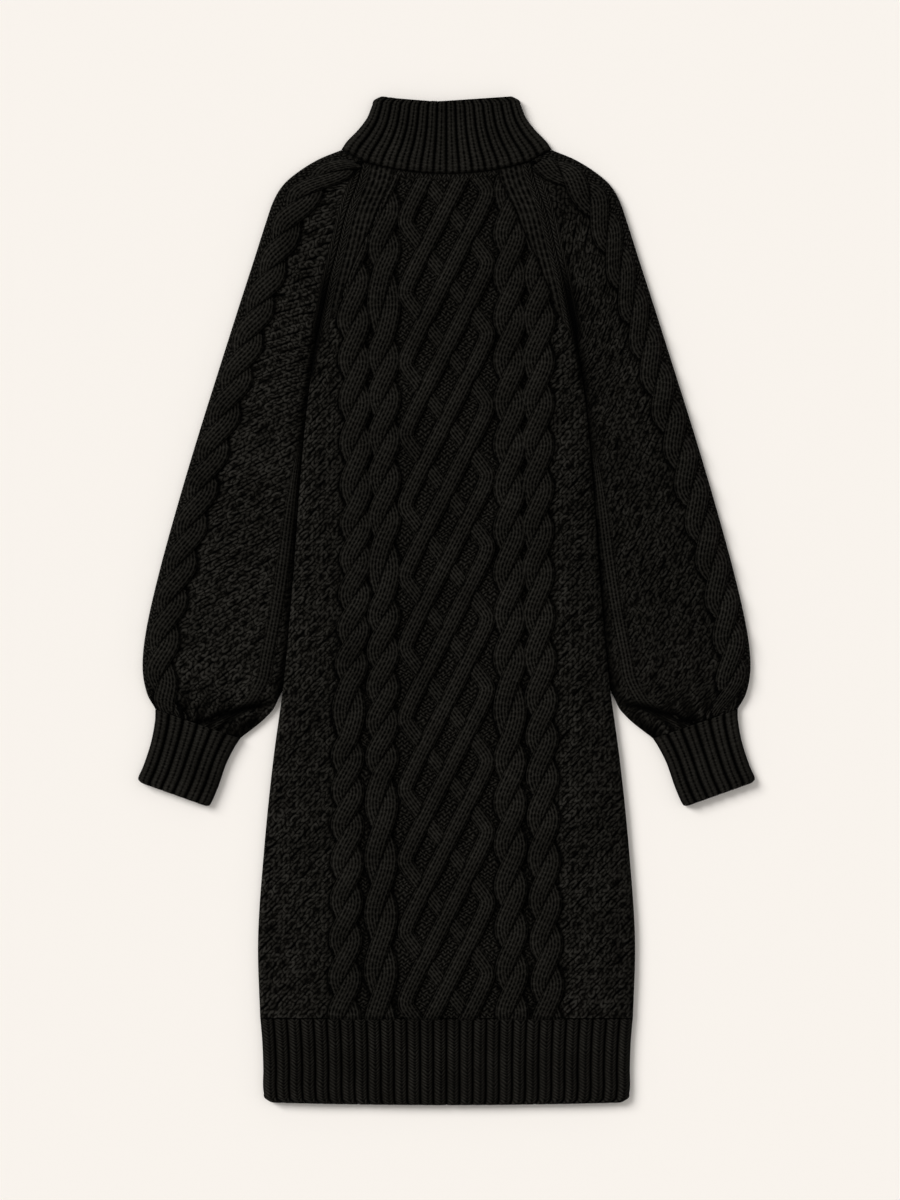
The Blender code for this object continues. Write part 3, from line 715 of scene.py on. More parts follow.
class Fabric:
    """A mesh in the making, with its knitting in three attributes of its points."""

    def __init__(self):
        self.points = []
        self.knitting = {"ground": [], "columns": [], "shares": []}
        self.quads = []
        self.triangles = []
        self.count = 0

    def add(self, points, knitting):
        """Adds a grid of points and gives their numbers."""
        points = np.asarray(points, float)
        shape = points.shape[:-1]
        self.points.append(points.reshape(-1, 3))
        for title, values in self.knitting.items():
            parts = [np.broadcast_to(value, shape).ravel() for value in getattr(knitting, title)]
            values.append(np.column_stack(parts))
        numbers = self.count + np.arange(int(np.prod(shape))).reshape(shape)
        self.count += numbers.size
        return numbers

    def cover(self, numbers):
        """Faces over a grid of points."""
        corners = (numbers[:-1, :-1], numbers[:-1, 1:], numbers[1:, 1:], numbers[1:, :-1])
        self.quads.append(np.stack(corners, axis=-1).reshape(-1, 4))

    def progress(self, chain):
        """How far along a chain of points each of them is in plan, from 0 to 1."""
        run = run_along(np.concatenate(self.points)[chain, :2])
        return run / max(run[-1], 1e-9)

    def zip(self, first, second):
        """Triangles between two chains of points that run side by side."""
        first_at, second_at = self.progress(first), self.progress(second)
        i = j = 0
        while i < len(first) - 1 or j < len(second) - 1:
            ahead = first_at[i + 1] - second_at[j] if i < len(first) - 1 else 2.0
            behind = second_at[j + 1] - first_at[i] if j < len(second) - 1 else 2.0
            if ahead <= behind:
                self.triangles.append((first[i], first[i + 1], second[j]))
                i += 1
            else:
                self.triangles.append((first[i], second[j + 1], second[j]))
                j += 1

    def make(self, name, node, turned=False):
        """The finished piece, which takes a node's place. turned is true where all faces look out."""
        triangles = np.array(self.triangles, int).reshape(-1, 3)
        faces = np.concatenate(self.quads).tolist() + triangles.tolist()
        data = bpy.data.meshes.new(name)
        data.from_pydata(np.concatenate(self.points).tolist(), [], faces)
        for title, values in self.knitting.items():
            attribute = data.attributes.new(title, "FLOAT_VECTOR", "POINT")
            attribute.data.foreach_set("vector", np.concatenate(values).ravel())
        if not turned:
            mesh = bmesh.new()
            mesh.from_mesh(data)
            bmesh.ops.remove_doubles(mesh, verts=mesh.verts, dist=1e-6)
            loose = [v for v in mesh.verts if not v.link_faces]
            bmesh.ops.delete(mesh, geom=loose, context="VERTS")
            bmesh.ops.recalc_face_normals(mesh, faces=mesh.faces)
            mesh.to_mesh(data)
            mesh.free()
        data.shade_smooth()
        if not turned:
            data.set_sharp_from_angle(angle=math.radians(END_ANGLE))
        data.materials.append(WOOL)
        made = put(name, data)
        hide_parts(node)
        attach(made, "root")
        return made


PLAIN = Knitting(column=0.25, row=0.5 * LEG_SLANT, knitted=1.0, painted_light=PLAIN_PAINTED_LIGHT)


def panel(fabric, outer, inner, knitting):
    """A closed wall between an outer grid and a plain inner grid."""
    skin = fabric.add(outer, knitting)
    lining = fabric.add(inner, PLAIN)
    fabric.cover(skin)
    fabric.cover(lining)
    for end in (0, -1):
        fabric.zip(skin[end], lining[end])
        fabric.zip(skin[:, end], lining[:, end])


# ---------------------------------------------------------------- front of the body


def cable_centre(name, y):
    return curve_in_mm(y, CABLES[name]["centre"])


def band_edge(y):
    """Distance from the middle to the inner side of the knit band along the raglan seam."""
    return curve_in_mm(y, RAGLAN_BAND)


def beside_band(x, y):
    """1 inside the raglan bands, 0 under them, where cables and lattice run out."""
    above = ease((y - BAND_FOOT) / BAND_FOOT_FADE)
    return 1 - above * (1 - ease((band_edge(y) - np.abs(x)) / BAND_SIDE_FADE + 0.5))


def sunk(from_neckline):
    """1 under the collar's lip, 0 from a little below it."""
    return 1 - ease(from_neckline / NECK_SINK_REACH)


def body_top(x, row):
    """Height of the front's plain surface, at x on the row that crosses the raglan seam at row."""
    half = body_half(row)
    top = PLAIN_TOP + BODY_CROWN * (1 - (x / half) ** 2)
    from_edge = np.clip((half - np.abs(x)) / EDGE_ROUNDING, 0.0, 1.0)
    return mix(seam_edge_height(crease(row)), top, dome(1 - from_edge))


def front_painted_shade(x, y, row, seeded, knitted):
    """Painted shade of the front, as the light it keeps: less by strands, beside a sleeve and to the right
    of its seed stitch, where the cloth slopes away from the light.
    """
    half = body_half(row)
    painted_light = beside_strands(x, lattice_paths(y), LATTICE_STRAND_HALF)
    for name in CABLES:
        painted_light = np.minimum(painted_light, beside_strands(x, cable_paths(name, y), STRAND_HALF))
    in_crevice = between(row, *CREVICE) * fading((half - np.abs(x)) / CREVICE_REACH)
    outermost = outer_cable(x, y)
    from_left = (x + np.where(x < 0, half, -outermost)) / (half - outermost)
    darker = mix(*SEED_PAINTED_SHADE, np.clip(from_left, 0.0, 1.0)) * seeded
    return mix(painted_light, 1, knitted) * (1 - CREVICE_PAINTED_SHADE * in_crevice) * (1 - darker)


def outer_cable(x, y):
    """Distance from the middle to the outer cable on the same side as x."""
    return np.where(x < 0, -cable_centre("outer_left", y), cable_centre("outer_right", y))


def front_ground(x, y, row):
    """(knitting, height) of the front between the cables."""
    out = np.abs(x)
    seeded = ease((out - outer_cable(x, y) - STRAND_HALF) / (2 * MM))
    banded = 1 - beside_band(x, y)
    from_neck = neckline(x, FRONT_NECK_DROP) - y
    neck_ribs = ease((NECK_RIBS_TALL - from_neck) / (3 * MM)) * (out < NECK_RIBS_HALF)
    from_seam = body_half(row) - out
    by_seam = banded * (from_seam < SEAM_COLUMN)
    cord = (from_seam - SEAM_COLUMN) / BAND_COLUMN
    column = np.where(banded > 0.0, np.where(by_seam > 0.0, from_seam / SEAM_COLUMN, cord), x / NECK_COLUMN)
    row_count = np.where(banded - by_seam > 0.0, y / BAND_STITCH, y / STITCH_TALL)
    vees = by_seam + neck_ribs * (1 - banded)
    knitting = Knitting(x, y, column, row_count, seeded * (1 - banded), vees, banded - by_seam)
    knitted = np.maximum(banded, neck_ribs)
    rise = mix(mix(PURL_RISE, SEED_RISE, seeded), BAND_RISE, knitted)
    level = mix(SEED_LEVEL * seeded, BAND_LEVEL, knitted)
    knitting.shade(front_painted_shade(x, y, row, knitting.shares[0], knitted))
    from_edge = np.clip(from_seam / (0.6 * EDGE_ROUNDING), 0.0, 1.0)
    return knitting, (level + rise * knitting.crest()) * mix(EDGE_RELIEF, 1, from_edge)


def body_rows(step):
    top, bottom = NECK_SEAM[1], HEM_SEAM + SEAM_GAP / 2
    return np.linspace(top, bottom, round((top - bottom) / step) + 1)


def split_at(row):
    """Where the centre of the front meets its sides: under the outer cables and beside the bands."""
    return np.minimum(CENTRE_HALF, band_edge(row) - 1.0 * MM)


def left_of(line):
    """The same line on the left side of the dress."""
    return lambda y: -line(y)


def front_section(name, start, end, columns):
    """A stretch of the front between two lines, which give x for each row."""
    rows = body_rows(STITCH_TALL / SAMPLES_PER_STITCH)[:, None]
    x = mix(start(rows), end(rows), columns)
    y = bent_to_neck(x, rows, FRONT_NECK_DROP)
    knitting, height = front_ground(x, y, rows)
    under_lip = sunk(neckline(x, FRONT_NECK_DROP) - y)
    # Painted shadow of the collar's lip
    knitting.shade(1 - LIP_PAINTED_SHADOW * under_lip)
    top = body_top(x, rows) - NECK_SINK * under_lip
    outer = np.stack([x, y, top + height * (1 - under_lip)], axis=-1)
    few = body_rows(LINING_ROW)[:, None]
    inner_x = mix(start(few), end(few), np.linspace(0.0, 1.0, 5))
    inner_y = bent_to_neck(inner_x, few, FRONT_NECK_DROP)
    level = BACK_WALL + LAYER_GAP + BODY_CROWN * (1 - (inner_x / body_half(few)) ** 2)
    fabric = Fabric()
    panel(fabric, outer, np.stack([inner_x, inner_y, level], axis=-1), knitting)
    return fabric.make(name, "front_panel")


def body_place(along, x):
    """Point of the front's plain surface at a distance along and across it, and how much shows."""
    y = -along
    under_collar = ease((neckline(x, FRONT_NECK_DROP) - y - 3 * MM) / (9 * MM))
    at_hem = ease((y - HEM_SEAM) / (2 * HEM_LAP) + 0.75)
    return np.stack([x, y, body_top(x, y)], axis=-1), beside_band(x, y) * under_collar * at_hem


# ---------------------------------------------------------------- strands


def strand(fabric, along, path, others, place, half, tall, columns, mirrored=False):
    """A tube of stockinette that lies along a line of the cloth.

    path gives how far across the cloth it lies and how high over it, at each distance along, and
    others the same of the strands that it crosses. place turns a distance along and across into a
    point of the cloth and how much of the strand shows.
    """
    across, lift = path
    step_along, step_across = np.gradient(along), np.gradient(across)
    length = np.hypot(step_along, step_across)
    run = np.concatenate([[0.0], np.cumsum(0.5 * (length[1:] + length[:-1]))])
    samples = columns * SAMPLES_PER_COLUMN
    under = 1 + np.linspace(0, 1, STRAND_UNDER_POINTS + 2)[1:-1]
    turn = np.concatenate([np.linspace(0, 1, samples + 1), under]) * math.pi
    upper = np.arange(len(turn)) <= samples
    column = np.where(upper, columns * 0.5 * (1 - np.cos(turn)), 0.0)[None, :]
    knitting = Knitting(0.0, 0.0, column, (run / STRAND_STITCH)[:, None], 0.0, 0.0, 1.0)
    stitch = np.where(upper, knitting.crest(), 0.5)
    swell = 1 + LEG_RISE * (stitch - 0.5) * np.where(upper, np.sin(turn), 0.0) / tall
    out = -half * np.cos(turn)
    at_along = along[:, None] - (step_across / length)[:, None] * out
    at_across = across[:, None] + (step_along / length)[:, None] * out
    points, shown = place(at_along, at_across)
    sink = 1 + STRAND_SINK - STRAND_SINK * shown
    points[..., 2] += (lift[:, None] + tall + tall * np.sin(turn) * swell) * shown - tall * sink
    # Painted shade down both sides of the strand
    knitting.shade(mix(STRAND_SIDE_PAINTED_LIGHT, 1, ease(STRAND_SIDE_SLOPE * np.sin(turn)[None, :])))
    # Painted shade where a strand runs close under another one
    for other_across, other_lift in others:
        slope = np.hypot(1.0, np.gradient(other_across, along))
        from_other = at_across - np.interp(at_along, along, other_across)
        beyond = dome(from_other / (half * np.interp(at_along, along, slope)))
        other_top = np.interp(at_along, along, other_lift) + tall * beyond
        over = (lift[:, None] + tall * np.sin(turn) - other_top) / TOUCH_REACH
        knitting.shade(np.where(beyond > 0.0, mix(TOUCH_PAINTED_LIGHT, 1, ease(over)), 1.0))
    numbers = fabric.add(points, knitting)
    way = 1 if mirrored else -1
    ring = np.hstack([numbers, numbers[:, :1]])
    fabric.cover(ring[:, ::way])
    for end, step in ((numbers[0], -way), (numbers[-1], way)):
        for k in range(1, len(end) - 1):
            fabric.triangles.append((end[0], end[k], end[k + 1])[::step])


def strands(fabric, along, paths, place, half, tall, columns, mirrored=False):
    """Strands that cross each other. mirrored is true where across runs the other way in plan."""
    for number, path in enumerate(paths):
        others = paths[:number] + paths[number + 1 :]
        strand(fabric, along, path, others, place, half, tall, columns, mirrored)


def winding(swing, roundness):
    """A swing from -1 to 1, from round turns at a roundness near 0 to pointed ones near 1."""
    return np.arcsin(roundness * swing) / math.asin(roundness)


def rope_paths(centre, count):
    """Both strands of a cable, across and up. count is how many crossings are past at each place."""
    paths = []
    for number in (0, 1):
        angle = math.pi * (count + 0.5 + number)
        across = centre + STRAND_SWING * winding(np.cos(angle), STRAND_ROUNDNESS)
        paths.append((across, STRAND_REST + STRAND_LIFT * np.sin(angle)))
    return paths


def beside_strands(across, paths, half):
    """How much light the ground keeps: painted shade beside strands and under them."""
    painted_light = 1.0
    for path_across, _ in paths:
        beyond = np.maximum(np.abs(across - path_across) - half, 0.0)
        painted_light = np.minimum(painted_light, 1 - GROUND_PAINTED_SHADE * fading(beyond / GROUND_REACH))
    return painted_light


def cable_paths(name, y):
    """Both strands of a cable of the front. Beyond its first and last crossing it keeps its pace."""
    numbers, heights = np.array(CABLES[name]["crossings"], float).T
    paces = -np.diff(numbers) / np.diff(heights)
    at = y / MM
    above, below = np.maximum(at - heights[0], 0.0), np.maximum(heights[-1] - at, 0.0)
    count = np.interp(-at, -heights, numbers) - above * paces[0] + below * paces[-1]
    return rope_paths(cable_centre(name, y), count)


def strand_places(top):
    """y of each ring of points round a strand, from its top down to its end on the hem."""
    return np.arange(top, HEM_SEAM - HEM_LAP, -STRAND_STITCH / SAMPLES_PER_STRAND_STITCH)


def front_cable(name):
    y = strand_places(CABLES[name]["top"] * MM)
    fabric = Fabric()
    strands(fabric, -y, cable_paths(name, y), body_place, STRAND_HALF, STRAND_TALL, STRAND_COLUMNS)
    return fabric.make("cable_" + name, "front_panel", turned=True)


def lattice_paths(y):
    """The travelling strands: each runs over the others to the left, then back under them."""
    paths = []
    for number in range(LATTICE_STRANDS):
        along = np.mod(LATTICE_FIRST_TURN - y - number * LATTICE_REPEAT, LATTICE_CYCLE)
        over = along < LATTICE_OVER_RUN
        run = np.where(over, LATTICE_OVER_RUN, LATTICE_CYCLE - LATTICE_OVER_RUN)
        share = np.where(over, along, along - LATTICE_OVER_RUN) / run
        x = LATTICE_HALF * winding(np.cos(math.pi * share) * np.where(over, 1.0, -1.0), LATTICE_ROUNDNESS)
        on_top = np.where(over, 1.0, 1.0 - np.sin(math.pi * share) ** 0.5)
        arch = LATTICE_ARCH * np.sin(math.pi * share) * over
        paths.append((x, LATTICE_REST + LATTICE_LIFT * (on_top + arch)))
    return paths


def lattice():
    y = strand_places(neckline(0.0, FRONT_NECK_DROP) + LATTICE_TOP_RISE)
    sizes = (LATTICE_STRAND_HALF, LATTICE_STRAND_TALL, LATTICE_COLUMNS)
    fabric = Fabric()
    strands(fabric, -y, lattice_paths(y), body_place, *sizes)
    return fabric.make("lattice_strands", "front_panel", turned=True)


def front():
    left_side, left_split, sides = left_of(body_half), left_of(split_at), side_columns()
    left = front_section("front_left", left_side, left_split, sides)
    right = front_section("front_right", split_at, body_half, 1 - sides[::-1])
    centre = front_section("front_centre", left_split, split_at, centre_columns())
    raised = [lattice()] + [front_cable(name) for name in CABLES]
    lay_panel(left, left_side, left_split)
    lay_panel(right, split_at, body_half)
    lay_panel(centre, left_split, split_at)


def side_columns():
    """Shares across a side of the front, from its edge, closer together where the edge rounds."""
    edge = np.linspace(0.0, EDGE_SHARE, 7)
    return np.concatenate([edge, np.linspace(EDGE_SHARE, 1.0, 61)[1:]])


def centre_columns():
    """Shares across the centre of the front: fine in the lattice, coarse under the cables."""
    lattice_share = 0.5 * (LATTICE_HALF + LATTICE_MARGIN) / CENTRE_HALF
    low, high = 0.5 - lattice_share, 0.5 + lattice_share
    under = np.linspace(0.0, low, 14)[:-1]
    fine = np.linspace(low, high, 75)
    return np.concatenate([under, fine, 1 - under[::-1]])


# ---------------------------------------------------------------- back of the body


def back():
    """A plain wall with a chamfer round its under side, which fades out along the raglan seams."""
    rows = body_rows(PLAN_ROW)[:, None]
    half = body_half(rows)
    fold = 1 - crease(rows)
    inset = BACK_CHAMFER * mix(0.2, 1, fold)
    around = np.linspace(0.0, 1.0, 4)
    plain = np.linspace(-1.0, 1.0, 41)
    side_x = half - inset * around
    side_z = (BACK_WALL - BACK_EDGE_DROP) * fold * (1 - around)
    under_x = np.hstack([-side_x, plain[1:-1] * (half - inset), side_x[:, ::-1]])
    under_z = np.hstack([side_z, np.zeros((len(rows), len(plain) - 2)), side_z[:, ::-1]])
    under = np.stack([under_x, bent_to_neck(under_x, rows, -BACK_NECK_RISE), under_z], axis=-1)
    inner_x = np.linspace(-1.0, 1.0, 9) * half
    inner_y = bent_to_neck(inner_x, rows, -BACK_NECK_RISE)
    inner = np.stack([inner_x, inner_y, np.full(inner_x.shape, BACK_WALL)], axis=-1)
    fabric = Fabric()
    panel(fabric, under, inner, Knitting(column=under_x / PURL_WIDE, row=rows / STITCH_TALL, knitted=1.0))
    lay_panel(fabric.make("back", "back_panel"), left_of(body_half), body_half)


# ---------------------------------------------------------------- cut of the cloth


def area_between(starts, ends):
    """Area between two edges that run side by side."""
    x, y = np.concatenate([starts, ends[::-1]]).T
    return 0.5 * abs(np.dot(x, np.roll(y, -1)) - np.dot(y, np.roll(x, -1)))


def lay_panel(piece, start, end):
    """Works out the area of a flat panel of the body between two lines, which give x for each row, and does
    not keep it.
    """
    rows = body_rows(PLAN_ROW)
    left, right = np.column_stack([start(rows), rows]), np.column_stack([end(rows), rows])
    area_between(left, right)


def lay_tube(starts, ends, with_pieces=()):
    """Works out the area of a tube laid flat, whose cut goes all round it, and does not keep it."""
    2 * area_between(starts, ends)


# ---------------------------------------------------------------- tubes laid flat


def tube(fabric, fronts, knitting, starts, ends, crowns, still_open=0, lining_rows=None, tucked=0.0):
    """A flattened tube: a knitted front over a plain back and lining.

    fronts holds the front's points from start to end of each section, both ends included. The first
    still_open sections are open at their start, where they join the body. tucked is 1 where the
    start is a thin edge that lies under another piece.
    """
    rows = len(fronts)
    width = np.linalg.norm(ends - starts, axis=1)
    inset, thick = UNDER_EDGE_INSET / width, FRONT_WALL / width
    opened = np.arange(rows) < still_open
    none, side, flat = np.zeros(rows), np.full(rows, SIDE_LEVEL), np.full(rows, BACK_WALL)
    low, high = (np.full(rows, share) for share in LINING_SHARES)
    edge_level = mix(SIDE_LEVEL, TUCK_LEVEL, tucked)
    middle_out, middle_up = UNDER_EDGE_MIDDLE
    under_shares = np.column_stack([
        1 - middle_out * inset, 1 - inset, high, low,
        np.where(opened, 0.5 * low, inset), np.where(opened, 0.0, middle_out * inset), none,
    ])
    under_z = np.column_stack([
        middle_up * side, none, none, none,
        none, np.where(opened, 0.0, middle_up * edge_level), np.where(opened, 0.0, edge_level),
    ])
    plain = Knitting(
        column=under_shares * width[:, None] / PURL_WIDE,
        row=run_along(ends)[:, None] / STITCH_TALL,
        knitted=1.0,
    )
    skin_front = fabric.add(fronts, knitting)
    skin_back = fabric.add(along_sections(starts, ends, under_shares, under_z), plain)
    skin = np.hstack([skin_front, skin_back])
    fabric.cover(skin)
    kept = np.arange(rows) if lining_rows is None else lining_rows
    begin = np.where(opened, 0.0, thick * (1 + tucked))
    top = BACK_WALL + LAYER_GAP
    lifted = top + np.outer(crowns, np.sin(math.pi * np.array(LINING_SHARES)))
    within = mix(SIDE_LEVEL, TUCK_LINING_LEVEL, tucked)
    shares = np.column_stack([begin, low, high, 1 - thick, high, low, begin])
    level = np.column_stack([
        np.where(opened, top, within), lifted, side, flat, flat, np.where(opened, BACK_WALL, within)
    ])
    lining = fabric.add(along_sections(starts, ends, shares, level)[kept], PLAIN)
    fabric.cover(lining)
    fabric.zip(skin[0], lining[0])
    fabric.zip(skin[-1], lining[-1])
    if still_open:
        lining_open = int(np.sum(opened[kept]))
        for end in (0, -1):
            fabric.zip(skin[: still_open + 1, end], lining[: lining_open + 1, end])


def along_sections(starts, ends, shares, heights):
    """Points at shares of each section from start to end, at the given heights."""
    plan = starts[:, None, :] + shares[..., None] * (ends - starts)[:, None, :]
    return np.concatenate([plan, heights[..., None]], axis=-1)


# ---------------------------------------------------------------- sleeves


def sleeve_edges(stations):
    """Inner and outer edge points of the right sleeve at stations of its table."""
    inner_y, clear, outer_x, outer_y = sections_at(stations, SLEEVE_SECTIONS)
    inner_x = body_half(inner_y) + np.maximum(clear, SEAM_GAP)
    return np.column_stack([inner_x, inner_y]), np.column_stack([outer_x, outer_y])


def cable_from_edge(station):
    return curve(station, SLEEVE_CABLE_FROM_EDGE) * MM


class SleeveGuide:
    """Sizes of a sleeve at any distance along its cable, all for the right sleeve."""

    def __init__(self):
        self.stations = np.linspace(0, SLEEVE_LAST, 600)
        self.starts, self.ends = sleeve_edges(self.stations)
        self.starts[:, 0] -= TUCK * self.tucked(self.stations)
        self.starts[:, 0] -= SEAM_LAP * between(self.stations, *LAP_STATIONS)
        share = cable_from_edge(self.stations) / np.linalg.norm(self.ends - self.starts, axis=1)
        cable = self.ends + (self.starts - self.ends) * share[:, None]
        self.run = run_along(cable)
        self.crossing = float(np.interp(-SLEEVE_CABLE_CROSSING_Y, -cable[:, 1], self.run))

    def at(self, along):
        """(station, start x and y, end x and y) at distances along the cable."""
        station = np.interp(along, self.run, self.stations)
        ends = [np.interp(along, self.run, values) for values in (*self.starts.T, *self.ends.T)]
        return station, ends

    def tucked(self, station):
        """1 where the sleeve's inner edge lies under the body's side."""
        return between(station, *TUCK_STATIONS)

    def gather(self, station):
        """0 down to where the gathers above the cuff start, 1 at the cuff."""
        return ease((station - GATHER_START) / (SLEEVE_LAST - GATHER_START))

    def plain(self, along, from_outer):
        """Plan and plain height of the sleeve at distances along it and in from its outer edge."""
        station, (start_x, start_y, end_x, end_y) = self.at(along)
        width = np.hypot(end_x - start_x, end_y - start_y)
        share = np.clip(1 - from_outer / width, 0.0, 1.0)
        x, y = mix(start_x, end_x, share), mix(start_y, end_y, share)
        fold = 1 - crease(start_y)
        flatter = 1 - GATHER_FLATTER * self.gather(station)
        crown = SLEEVE_CROWN * flatter * np.minimum(1.0, width / WIDE_SECTION)
        front = PLAIN_TOP + crown * np.sin(math.pi * share)
        inner_rise = ease(share * width / INNER_SLOPE + 0.02) * fold + (1 - fold)
        height = mix(seam_edge_height(0.0), front, inner_rise)
        slope = TUCK_LEVEL + TUCK_SLOPE * share * width
        height = mix(height, np.minimum(height, slope), self.tucked(station))
        rounded = dome(1 - np.clip((1 - share) * width / EDGE_ROUNDING, 0.0, 1.0))
        return x, y, mix(SIDE_LEVEL, height, rounded), station, width, fold, crown


GUIDE = SleeveGuide()


def sleeve_cable_paths(along, side):
    """On the right sleeve the strands lean the same way in plan, so they swing the other way."""
    centre = cable_from_edge(GUIDE.at(along)[0])
    paths = rope_paths(centre, (along - GUIDE.crossing) / SLEEVE_CABLE_PITCH)
    return [(centre - side * (across - centre), lift) for across, lift in paths]


def sleeve_ground(along, from_outer, station, width, side):
    """(knitting, height) of a sleeve between its cable and its seams."""
    from_inner = width - from_outer
    seeded = ease((from_outer - cable_from_edge(station) - 0.8 * STRAND_HALF) / (2 * MM))
    along_armhole = ease((ARMHOLE_END + 0.6 - station) / 0.6)
    beside_seam = ease((SEAM_COLUMN - from_inner) / (2 * MM) + 0.5) * along_armhole
    from_start = station - UNDERARM_BAND[0][0]
    half = UNDERARM_BAND_HALF * mix(0.4, 1, ease(from_start / 1.6))
    from_band = (from_inner - curve(station, UNDERARM_BAND) * width) / half
    banded = ease(from_start / 0.5) * (np.abs(from_band) < 1)
    column = np.where(banded > 0, 2.0 * (from_band + 1), from_inner / SEAM_COLUMN)
    knitted = np.maximum(beside_seam, banded)
    shares = (seeded * (1 - knitted), beside_seam, banded)
    knitting = Knitting(side * from_outer, along, column, -along / STITCH_TALL, *shares)
    rise = mix(mix(PURL_RISE, SEED_RISE, seeded), BAND_RISE, knitted)
    level = mix(SEED_LEVEL * seeded, BAND_LEVEL, beside_seam)
    level = mix(level, (BAND_LEVEL + UNDERARM_BAND_RISE) * dome(from_band), banded)
    return knitting, level + rise * knitting.crest()


def gathered(even, at, gather, from_edge):
    """(height, light kept under painted shade) of the puckers and the slanted fold above the cuff."""
    pucker = 0.5 - 0.5 * np.cos(2 * math.pi * PUCKERS * even + 2.0 * wander(even * 9, at, 1.0))
    pulled = PUCKER_DEPTH * gather * pucker**2 * ease(from_edge / (8 * MM))
    from_fold = even - FOLD_SLOPE * (at - FOLD_START)
    folded = ease((at - FOLD_START) / 0.8) * ease(from_edge / (6 * MM))
    valley, ridge = (fading((from_fold - place) / half) for place, half in (FOLD_VALLEY, FOLD_RIDGE))
    height = FOLD_DEPTH * folded * (FOLD_RIDGE_SHARE * ridge - valley) - pulled
    return height, (1 - PUCKER_PAINTED_SHADE * gather * pucker) * (1 - FOLD_PAINTED_SHADE * folded * valley)


def sleeve_place(side):
    """The place on a sleeve for each point of its cable, as strand asks for it."""

    def place(along, across):
        along = np.clip(along, GUIDE.run[0], GUIDE.run[-1])
        x, y, z, station, width, _, _ = GUIDE.plain(along, np.maximum(across, 0.0))
        shown = ease((along - 2 * MM) / (10 * MM)) * (1 - GATHER_SINKS_CABLE * GUIDE.gather(station))
        shown = shown * ease((width - 24 * MM) / (20 * MM))
        return np.stack([side * x, y, z], axis=-1), shown

    return place


def sleeve_painted_shade(knitting, from_inner, from_outer, along, at, side):
    """Painted shade of a sleeve, as the light it keeps: less beside the body, by its cable and in its seed
    stitch.
    """
    seeded, _, banded = knitting.shares
    in_crevice = between(at, *CREVICE_STATIONS) * fading(from_inner / SLEEVE_CREVICE_REACH)
    by_body = SLEEVE_CREVICE_PAINTED_SHADE * in_crevice * (1 - 0.5 * banded)
    beside = beside_strands(from_outer, sleeve_cable_paths(along, side), STRAND_HALF)
    by_cable = np.where(from_outer > cable_from_edge(at), beside, 1.0)
    return (1 - by_body) * by_cable * (1 - SLEEVE_SEED_PAINTED_SHADE[side > 0] * seeded)


def sleeve_lining_rows(still_open):
    """Rows of the sleeve that its lining has too: each eighth along the armhole, fewer below it."""
    armhole = np.arange(0, still_open + 1, 8)
    below = np.linspace(still_open, SLEEVE_ROWS - 1, SLEEVE_LINING_STATIONS).astype(int)
    return np.unique(np.concatenate([armhole, [still_open], below]))


def sleeve(name, side):
    along = np.linspace(0.0, GUIDE.run[-1], SLEEVE_ROWS)[:, None]
    station, (start_x, start_y, end_x, end_y) = GUIDE.at(along[:, 0])
    starts, ends = np.column_stack([start_x, start_y]), np.column_stack([end_x, end_y])
    tucked = GUIDE.tucked(station)
    at = station[:, None]
    gather = GUIDE.gather(at)
    under_lip = sunk(2 * along)
    width = np.linalg.norm(ends - starts, axis=1)[:, None]
    even = np.linspace(0.0, 1.0, SLEEVE_COLUMNS)
    from_outer = width * (1 - even)
    from_edge = np.minimum(even, 1 - even) * width
    x, y, z, _, _, fold, crown = GUIDE.plain(along, from_outer)
    knitting, height = sleeve_ground(along, from_outer, at, width, side)
    shown = (1 - GATHER_SMOOTHS * gather) * ease(from_edge / (5 * MM) + 0.15 * (1 - tucked[:, None]))
    near_seam = ease((7.0 - at) / 0.8) * (even < 0.5)
    shown = np.maximum(shown, near_seam) * (1 - under_lip)
    gathers, gathers_painted_light = gathered(even, at, gather, from_edge)
    z = np.maximum(z + height * shown + gathers - NECK_SINK * under_lip, SIDE_LEVEL + LEAST_RISE)
    low_level = mix(SIDE_LEVEL, TUCK_LEVEL, tucked)
    inner_level = np.where(station < ARMHOLE_END, seam_edge_height(1 - fold[:, 0]), low_level)
    z[:, 0] = inner_level - NECK_SINK * under_lip[:, 0]
    z[:, -1] = SIDE_LEVEL
    knitting.shade(sleeve_painted_shade(knitting, even * width, from_outer, along, at, side))
    # Painted shade in the puckers and the fold, and the painted shadow under the collar's lip
    knitting.shade(gathers_painted_light * (1 - LIP_PAINTED_SHADOW * under_lip))
    still_open = int(np.sum(station < ARMHOLE_END))
    mirror = np.array([side, 1.0])
    ground = Fabric()
    tube(
        ground, np.stack([side * x, y, z], axis=-1), knitting, starts * mirror, ends * mirror,
        crown[:, 0], still_open, sleeve_lining_rows(still_open), tucked,
    )
    knit = ground.make(name + "_knit", name)
    run = np.arange(0.0, GUIDE.run[-1], STRAND_STITCH / SAMPLES_PER_STRAND_STITCH)
    sizes = (STRAND_HALF, STRAND_TALL, STRAND_COLUMNS)
    rope = Fabric()
    strands(rope, run, sleeve_cable_paths(run, side), sleeve_place(side), *sizes, mirrored=side < 0)
    lay_tube(starts, ends, [rope.make("cable_" + name, name, turned=True)])


# ---------------------------------------------------------------- ribbed pieces


